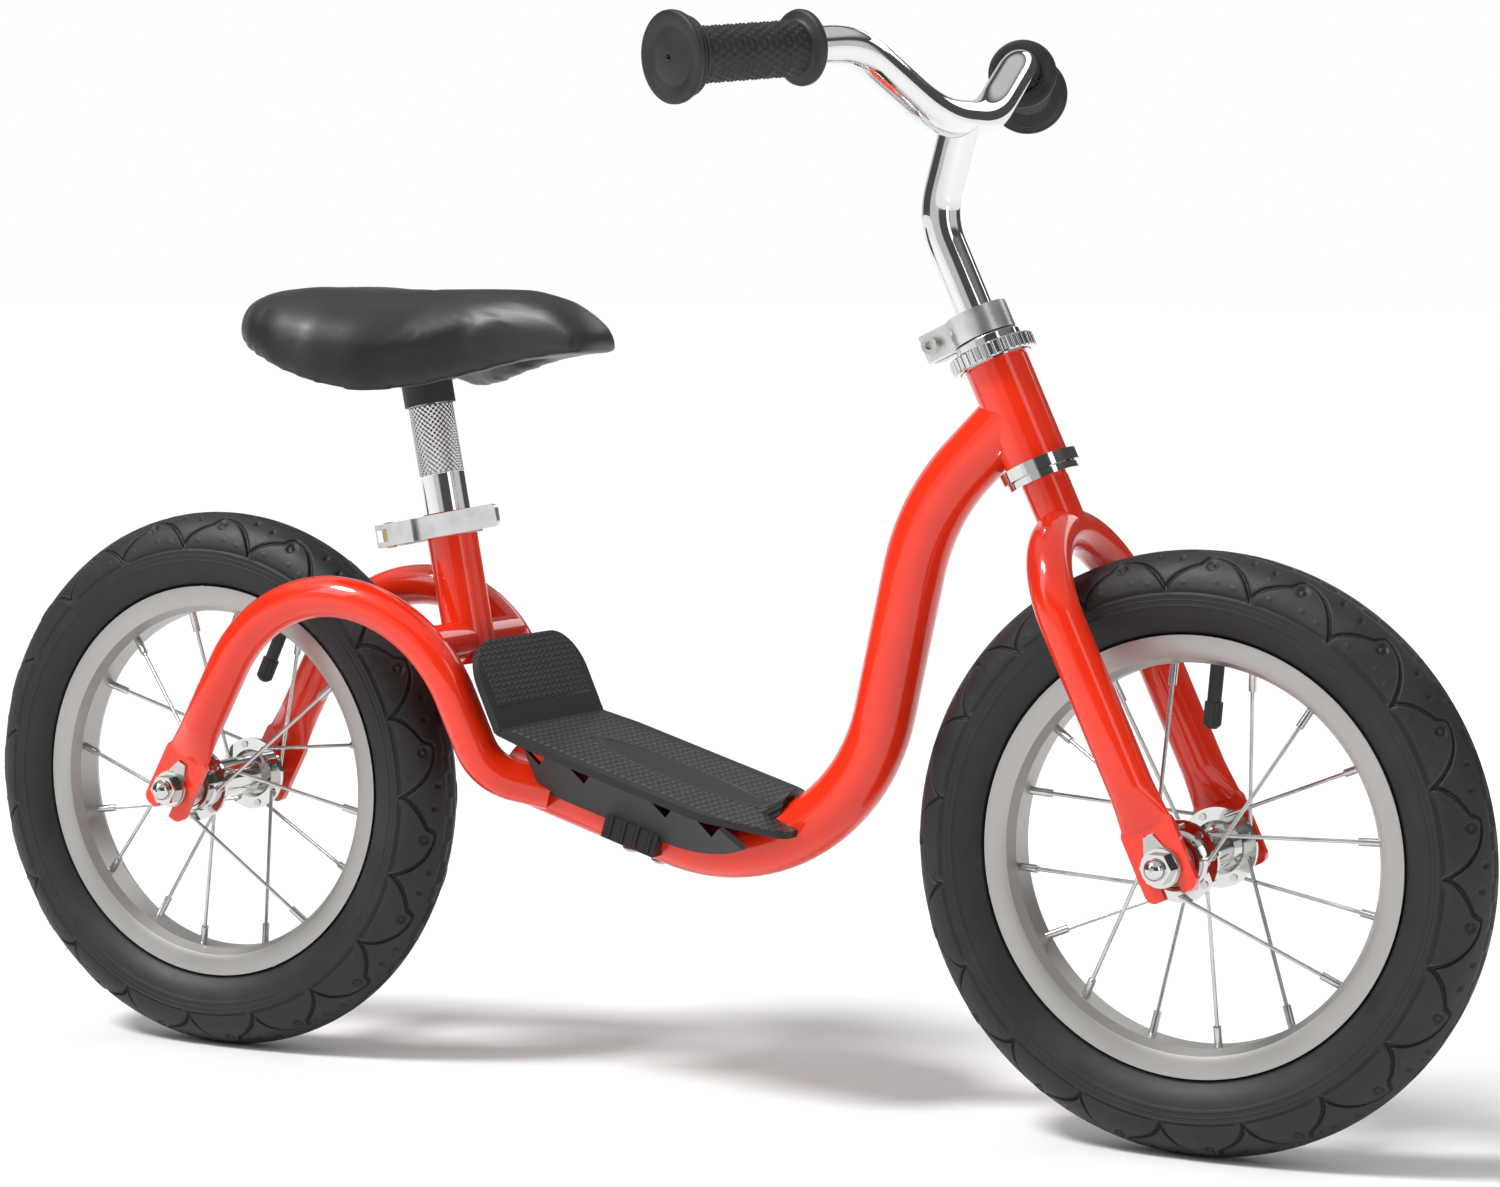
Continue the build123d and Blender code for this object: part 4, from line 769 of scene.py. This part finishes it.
def make_grip(name, node, body, sizes, material):
    """A grip: its outline turned about the bar, with staggered nubs and thin lines on its body.

    A point is start + s d + r (cos t, sin t) in the plane across d, with r raised by round
    nubs in rows, every other row shifted by half a nub, and by a line midway between rows.
    """
    _, direction, points = spin_axis(node)
    outwards = 1.0 if middle_of(node)[1] > 0 else -1.0
    direction = direction * (outwards * np.sign(direction[1]))
    along = points @ direction
    middle = points.mean(0)
    start = middle + direction * (along.min() - middle @ direction)
    outline = grip_outline()
    outline[:, 0] *= (along.max() - along.min()) / outline[:, 0].max()
    steps = 132
    turn, _ = np.meshgrid(np.linspace(0, 2 * pi, steps, endpoint=False), outline[:, 0], indexing="ij")
    place = np.broadcast_to(outline[:, 0], turn.shape)
    radius = np.broadcast_to(outline[:, 1], turn.shape).copy()
    first, last = 0.0065, 0.0690
    row = (place - first) / (last - first) * sizes.nub_rows
    shift = 0.5 * (np.floor(row) % 2)
    column = (turn / (2 * pi) * sizes.nubs_round + shift) % 1.0
    pitch_along = (last - first) / sizes.nub_rows
    pitch_round = 2 * pi * GRIP_BODY_RADIUS / sizes.nubs_round
    away = np.hypot((row % 1.0 - 0.5) * pitch_along, (column - 0.5) * pitch_round)
    on_body = (place > first) & (place < last) & (radius < GRIP_BODY_RADIUS + 0.0002)
    nubs = 1 - step(away, 0.00035, 0.0012)
    lines = 0.45 * ridge(np.abs(row % 1.0 - 0.5), 0.5, 0.16)
    radius += on_body * sizes.nub_height * np.maximum(nubs, lines)
    across = np.cross(direction, (0.0, 0.0, 1.0))
    across /= np.linalg.norm(across)
    upright = np.cross(across, direction)
    grid = (
        start
        + place[..., None] * direction
        + (radius * np.cos(turn))[..., None] * across
        + (radius * np.sin(turn))[..., None] * upright
    )
    piece = grid_piece(name, grid, True, False)
    merge_poles(piece)
    piece.data.materials.append(material)
    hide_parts(node)
    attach(piece, body)
    return piece


class BIKE_OT_grips(bpy.types.Operator):
    """Makes the two nubbed grips."""

    bl_idname = "bike.grips"
    bl_label = "Grips"

    def execute(self, context):
        sizes = context.scene.bike_grips
        rubber = rubber_material("grip_rubber", sizes.rubber, 0.42)
        for side in ("left", "right"):
            make_grip(f"{side}_nubbed_grip", f"{side}_grip", "bar", sizes, rubber)
        return {"FINISHED"}


# ------------------------------------------------------------------ saddle
def saddle_points(sizes, low, high):
    """The saddle's skin and its turned-under edge.

    At a station p from 0 to pi the length is half its run less half times cos p, and the width,
    the top and the edge follow curves of that length. Round a section the width grows as a power
    of sin q and the height as a power of cos q. Two lobes rise either side of the rear channel.
    """
    length = high.x - low.x
    half = (high.y - low.y) / 2
    stations, steps = 120, 56
    p = np.linspace(0, pi, stations)[:, None]
    run = 0.5 - 0.5 * np.cos(p)
    knots = [0.0, 0.05, 0.12, 0.22, 0.33, 0.45, 0.56, 0.68, 0.80, 0.90, 0.96, 1.0]
    widths = [0.30, 0.62, 0.82, 0.96, 1.00, 0.89, 0.66, 0.45, 0.35, 0.325, 0.31, 0.28]
    tops = [
        0.408, 0.4175, 0.4215, 0.4225, 0.4210, 0.4185,
        0.4175, 0.4190, 0.4195, 0.4145, 0.4065, 0.397,
    ]
    edges = [
        0.398, 0.3935, 0.3875, 0.3800, 0.3725, 0.3665,
        0.3680, 0.3745, 0.3815, 0.3855, 0.3865, 0.387,
    ]
    smooth_run = np.linspace(0, 1, 400)

    def curve(values):
        fine = np.interp(smooth_run, knots, values)
        kernel = np.hanning(31)
        padded = np.concatenate([2 * fine[0] - fine[15:0:-1], fine, 2 * fine[-1] - fine[-2:-17:-1]])
        fine = np.convolve(padded, kernel / kernel.sum(), "valid")
        return np.interp(run, smooth_run, fine)

    width = np.maximum(curve(widths), 0) * half * np.clip(np.sin(p) * 3.2, 0, 1) ** 0.5
    top, edge = curve(tops), curve(edges)
    q = np.linspace(0, pi / 2, steps)[None, :]
    y = width * np.sin(q) ** 0.92
    z = edge + (top - edge) * np.cos(q) ** 0.62
    rear = 1 - step(run, 0.30, 0.62)
    channel = np.exp(-((y / (0.30 * half)) ** 2)) * rear * step(run, 0.0, 0.12)
    z = z - sizes.lobe_rise * channel
    inside = np.linspace(0, 1, 14)[None, 1:]
    under_y = width * (1 - inside)
    recess = 0.011 * step(run, 0.05, 0.14) * (1 - step(run, 0.72, 0.86))
    under_z = edge + recess * step(width * inside, sizes.lip, 2 * sizes.lip)
    side_y = np.concatenate([y, under_y], 1)
    side_z = np.concatenate([z, under_z], 1)
    x = low.x - 0.001 + (length + sizes.nose_reach) * run + 0 * side_y
    right = np.stack([x, -side_y, side_z], -1)
    left = np.stack([x, side_y, side_z], -1)[:, ::-1]
    return np.concatenate([right, left[:, 1:-1]], 1)


def read_points(mesh, key):
    """One vector for each of a mesh's points: its place, co, or its normal."""
    values = np.empty(len(mesh.vertices) * 3, np.float32)
    mesh.vertices.foreach_get(key, values)
    return values.reshape(-1, 3)


def swell(piece, travel):
    """Fills the padding: a cloth simulation under pressure, its underside held, kept to a travel."""
    mesh = piece.data
    rest = read_points(mesh, "co")
    held = np.clip(-read_points(mesh, "normal")[:, 2] * 2.0 + 0.4, 0, 1)
    group = piece.vertex_groups.new(name="held")
    levels = 5
    for level in range(levels + 1):
        chosen = np.flatnonzero(np.round(held * levels) == level)
        group.add(chosen.tolist(), level / levels, "REPLACE")
    cloth = piece.modifiers.new("padding", "CLOTH")
    settings = cloth.settings
    settings.vertex_group_mass = "held"
    settings.use_pressure = True
    settings.uniform_pressure_force = 4.0
    settings.tension_stiffness = 18.0
    settings.compression_stiffness = 12.0
    settings.bending_stiffness = 0.6
    settings.effector_weights.gravity = 0.0
    settings.quality = 6
    cloth.point_cache.frame_start = 1
    cloth.point_cache.frame_end = CLOTH_FRAMES
    scene = bpy.context.scene
    for count in range(1, CLOTH_FRAMES + 1):
        scene.frame_set(count)
    depsgraph = bpy.context.evaluated_depsgraph_get()
    move = read_points(piece.evaluated_get(depsgraph).data, "co") - rest
    size = np.linalg.norm(move, axis=1, keepdims=True)
    move = np.where(np.isfinite(move), move, 0) * np.minimum(1, travel / np.maximum(size, 1e-9))
    piece.modifiers.remove(cloth)
    mesh.vertices.foreach_set("co", (rest + move).astype(np.float32).ravel())
    mesh.update()
    scene.frame_set(1)


def apply_modifier(piece, kind, **settings):
    """Adds a modifier with its settings and keeps only what it makes of the mesh."""
    modifier = piece.modifiers.new("even", kind)
    for key, value in settings.items():
        setattr(modifier, key, value)
    depsgraph = bpy.context.evaluated_depsgraph_get()
    mesh = bpy.data.meshes.new_from_object(piece.evaluated_get(depsgraph))
    piece.modifiers.remove(modifier)
    piece.data = mesh
    mesh.polygons.foreach_set("use_smooth", np.ones(len(mesh.polygons), bool))


def make_saddle(sizes, material):
    """The padded saddle, swollen from a slightly smaller shape and then made finer."""
    low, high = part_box("saddle_cover")
    piece = grid_piece("padded_saddle", saddle_points(sizes, low, high), False, True)
    merge_poles(piece, 0.00005)
    apply_modifier(piece, "REMESH", mode="VOXEL", voxel_size=0.0035)
    swell(piece, sizes.padding_travel)
    apply_modifier(piece, "LAPLACIANSMOOTH", iterations=4, lambda_factor=0.35)
    finer = piece.modifiers.new("finer", "SUBSURF")
    finer.levels = finer.render_levels = 1
    piece.data.materials.append(material)
    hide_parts("saddle_cover")
    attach(piece, "seat")
    return piece


class BIKE_OT_saddle(bpy.types.Operator):
    """Makes the padded saddle and simulates its filling."""

    bl_idname = "bike.saddle"
    bl_label = "Saddle"

    def execute(self, context):
        sizes = context.scene.bike_saddle
        make_saddle(sizes, vinyl_material(sizes))
        return {"FINISHED"}


# ------------------------------------------------------------------ finishes
class BIKE_OT_finishes(bpy.types.Operator):
    """Finishes the parts of metal, rubber and plastic that keep their own shape."""

    bl_idname = "bike.finishes"
    bl_label = "Finishes"

    def execute(self, context):
        sizes = context.scene.bike_paint
        dress(
            enamel_material(sizes),
            "main_tube", "head_tube", "seat_tube", "left_rear_stay", "right_rear_stay",
            "cross_bridge", "left_fork_blade", "right_fork_blade", "fork_steerer",
        )
        dress(chrome_material(), "handlebar", "handlebar_post")
        dress(knurled_chrome_material(sizes), "seat_post")
        bright = chrome_material("bright_plate", (0.66, 0.66, 0.65), 0.14)
        dress(bright, "upper_head_cup", "lower_head_cup", "headset_adjuster", "headset_lock_ring")
        dress(bright, "crown_race")
        dress(bright, "front_hub_shell", "rear_hub_shell", "front_axle_nuts", "rear_axle_nuts")
        satin = plated_material("satin_aluminium", (0.70, 0.70, 0.70), 0.24)
        dress(satin, "stem_clamp", "seat_clamp_band", "seat_clamp_lever")
        zinc = plated_material("zinc_plate", (0.62, 0.61, 0.57), 0.2)
        dress(zinc, "stem_clamp_bolt", "seat_clamp_skewer", "seat_clamp_nut")
        dress(zinc, "saddle_bolt", "footrest_screws")
        steel = plated_material("spoke_steel", (0.62, 0.62, 0.61), 0.16, 500.0)
        brass = plated_material("barrel_brass", (0.66, 0.50, 0.24), 0.22)
        dress(brass, "seat_clamp_barrel")
        rim = rim_material()
        black = rubber_material("valve_rubber", (0.018, 0.018, 0.018))
        balls = chrome_material("ball_steel", (0.7, 0.7, 0.7), 0.02)
        dress(balls, "headset_balls")
        for end in ("front", "rear"):
            dress(zinc, f"{end}_axle", f"{end}_cones", f"{end}_lock_nuts", f"{end}_tab_washers")
            dress(steel, f"{end}_spokes", f"{end}_nipples")
            dress(rim, f"{end}_rim")
            dress(black, f"{end}_inner_tube", f"{end}_valve_cap")
            dress(balls, f"{end}_hub_balls")
        dress(footrest_material(sizes), "footrest")
        dress(rubber_material("saddle_pan_plastic", (0.017, 0.017, 0.018), 0.4), "saddle_pan")
        return {"FINISHED"}


# ------------------------------------------------------------------ stage
def floor_surface():
    """A level disc: rings of radius growing as a power of the step, each a circle."""
    radii = np.linspace(0, 1, 24) ** 2.5 * 60
    ring, turn = np.meshgrid(radii, np.linspace(0, 2 * pi, 96, endpoint=False), indexing="ij")
    points = np.stack([ring * np.cos(turn), ring * np.sin(turn), np.zeros_like(ring)], -1)
    floor = grid_piece("floor", points, False, True)
    merge_poles(floor)
    return floor


def floor_material(sizes):
    """Pale matt paper with the faintest mottle."""
    shader = Shader("pale_paper")
    mottle = shader.noise(3.0, 3.0)
    return shader.finish(
        base_color=shader.mix(mottle, colour(sizes.floor_colour, 0.99), colour(sizes.floor_colour, 1.01)),
        roughness=0.85 + 0.05 * mottle,
        specular_ior_level=0.1,
    )


def studio_world():
    """Soft white panels on dim walls under a bright ceiling, and plain white where it is seen."""
    shader = Shader("studio", bpy.data.worlds)
    ahead, side, above = shader.parts(shader.node("ShaderNodeTexCoord")["Generated"])
    bearing = side.math("ARCTAN2", ahead)
    panels = (bearing * 3.0 + 0.9).sine().between(-0.1, 0.35) * (1.0 - above.between(0.30, 0.42))
    glow = 0.08 + 0.55 * panels + 0.55 * above.between(0.50, 0.68)
    seen = shader.node("ShaderNodeLightPath")["Is Camera Ray"]

    def white(strength):
        return shader.node(
            "ShaderNodeBackground", None, {"Color": (1, 1, 1, 1), "Strength": strength}
        )["Background"]

    mixed = shader.node("ShaderNodeMixShader", None, {0: seen, 1: white(glow), 2: white(1.0)})["Shader"]
    shader.node("ShaderNodeOutputWorld", None, {"Surface": mixed})
    return shader.owner


def soft_light(name, place, aim, size, power):
    """A rectangular lamp that faces a point."""
    lamp = bpy.data.lights.new(name, "AREA")
    lamp.shape = "RECTANGLE"
    lamp.size, lamp.size_y = size
    lamp.energy = power
    set_lamp(lamp, place, aim)


def sun_light(name, place, aim, angle, strength):
    """A broad even light from a direction."""
    lamp = bpy.data.lights.new(name, "SUN")
    lamp.angle = angle
    lamp.energy = strength
    set_lamp(lamp, place, aim)


def set_lamp(lamp, place, aim):
    """Puts a lamp in the scene, facing a point."""
    holder = bpy.data.objects.new(lamp.name, lamp)
    holder.matrix_world = Matrix.Translation(Vector(place)) @ (
        (Vector(aim) - Vector(place)).to_track_quat("-Z", "Y").to_matrix().to_4x4()
    )
    bpy.context.scene.collection.objects.link(holder)


class BIKE_OT_stage(bpy.types.Operator):
    """Makes the floor, the lights, the surroundings and the camera."""

    bl_idname = "bike.stage"
    bl_label = "Stage"

    def execute(self, context):
        scene = context.scene
        sizes = scene.bike_stage
        floor = floor_surface()
        floor.data.materials.append(floor_material(sizes))
        aim = (0.0, 0.0, 0.25)
        sun_light("daylight", (-1.2, -1.4, 3.0), aim, radians(14), 2.6)
        soft_light("key", (-1.6, -2.2, 2.2), aim, (0.9, 1.8), 15.0)
        soft_light("fill", (2.6, -1.2, 1.1), aim, (0.7, 1.8), 7.0)
        soft_light("back", (0.6, 2.6, 1.8), aim, (2.4, 0.6), 10.0)
        scene.world = studio_world()
        scene.view_settings.view_transform = "Standard"
        lens = bpy.data.cameras.new("camera")
        lens.lens = sizes.lens
        lens.sensor_width = 36.0
        lens.clip_start, lens.clip_end = 0.05, 200.0
        camera = bpy.data.objects.new("camera", lens)
        camera.matrix_world = (
            Matrix.Translation(sizes.camera_place)
            @ Matrix.Rotation(sizes.camera_turn, 4, "Z")
            @ Matrix.Rotation(pi / 2 - sizes.camera_fall, 4, "X")
            @ Matrix.Rotation(sizes.camera_roll, 4, "Z")
        )
        scene.collection.objects.link(camera)
        scene.camera = camera
        return {"FINISHED"}


class BIKE_PT_panel(bpy.types.Panel):
    """The bike's pieces, in the order they are made."""

    bl_label = "Balance Bike"
    bl_idname = "BIKE_PT_panel"
    bl_space_type = "VIEW_3D"
    bl_region_type = "UI"
    bl_category = "Balance Bike"

    def draw(self, context):
        for group, operators in PANEL_ROWS:
            box = self.layout.box()
            for name in operators:
                box.operator(name)
            settings = getattr(context.scene, group)
            for key in settings.bl_rna.properties.keys():
                if key not in ("rna_type", "name"):
                    box.prop(settings, key)


PANEL_ROWS = (
    ("bike_stage", ("bike.stage",)),
    ("bike_paint", ("bike.finishes",)),
    ("bike_tyres", ("bike.tyres",)),
    ("bike_grips", ("bike.grips",)),
    ("bike_saddle", ("bike.saddle",)),
)
GROUPS = {
    "bike_stage": StageSizes,
    "bike_paint": PaintSizes,
    "bike_tyres": TyreSizes,
    "bike_grips": GripSizes,
    "bike_saddle": SaddleSizes,
}
OPERATORS = (BIKE_OT_stage, BIKE_OT_finishes, BIKE_OT_tyres, BIKE_OT_grips, BIKE_OT_saddle)


def register():
    """Adds the classes and their settings to the scene."""
    for name, group in GROUPS.items():
        bpy.utils.register_class(group)
        setattr(bpy.types.Scene, name, bpy.props.PointerProperty(type=group))
    for operator in OPERATORS:
        bpy.utils.register_class(operator)
    bpy.utils.register_class(BIKE_PT_panel)


def unregister():
    """Takes them away again."""
    bpy.utils.unregister_class(BIKE_PT_panel)
    for operator in reversed(OPERATORS):
        bpy.utils.unregister_class(operator)
    for name, group in GROUPS.items():
        delattr(bpy.types.Scene, name)
        bpy.utils.unregister_class(group)


def main():
    """Makes everything."""
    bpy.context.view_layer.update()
    register()
    for operators in (row[1] for row in PANEL_ROWS):
        for name in operators:
            group, call = name.split(".")
            getattr(getattr(bpy.ops, group), call)()
    bpy.context.view_layer.update()


if __name__ == "__main__":
    main()
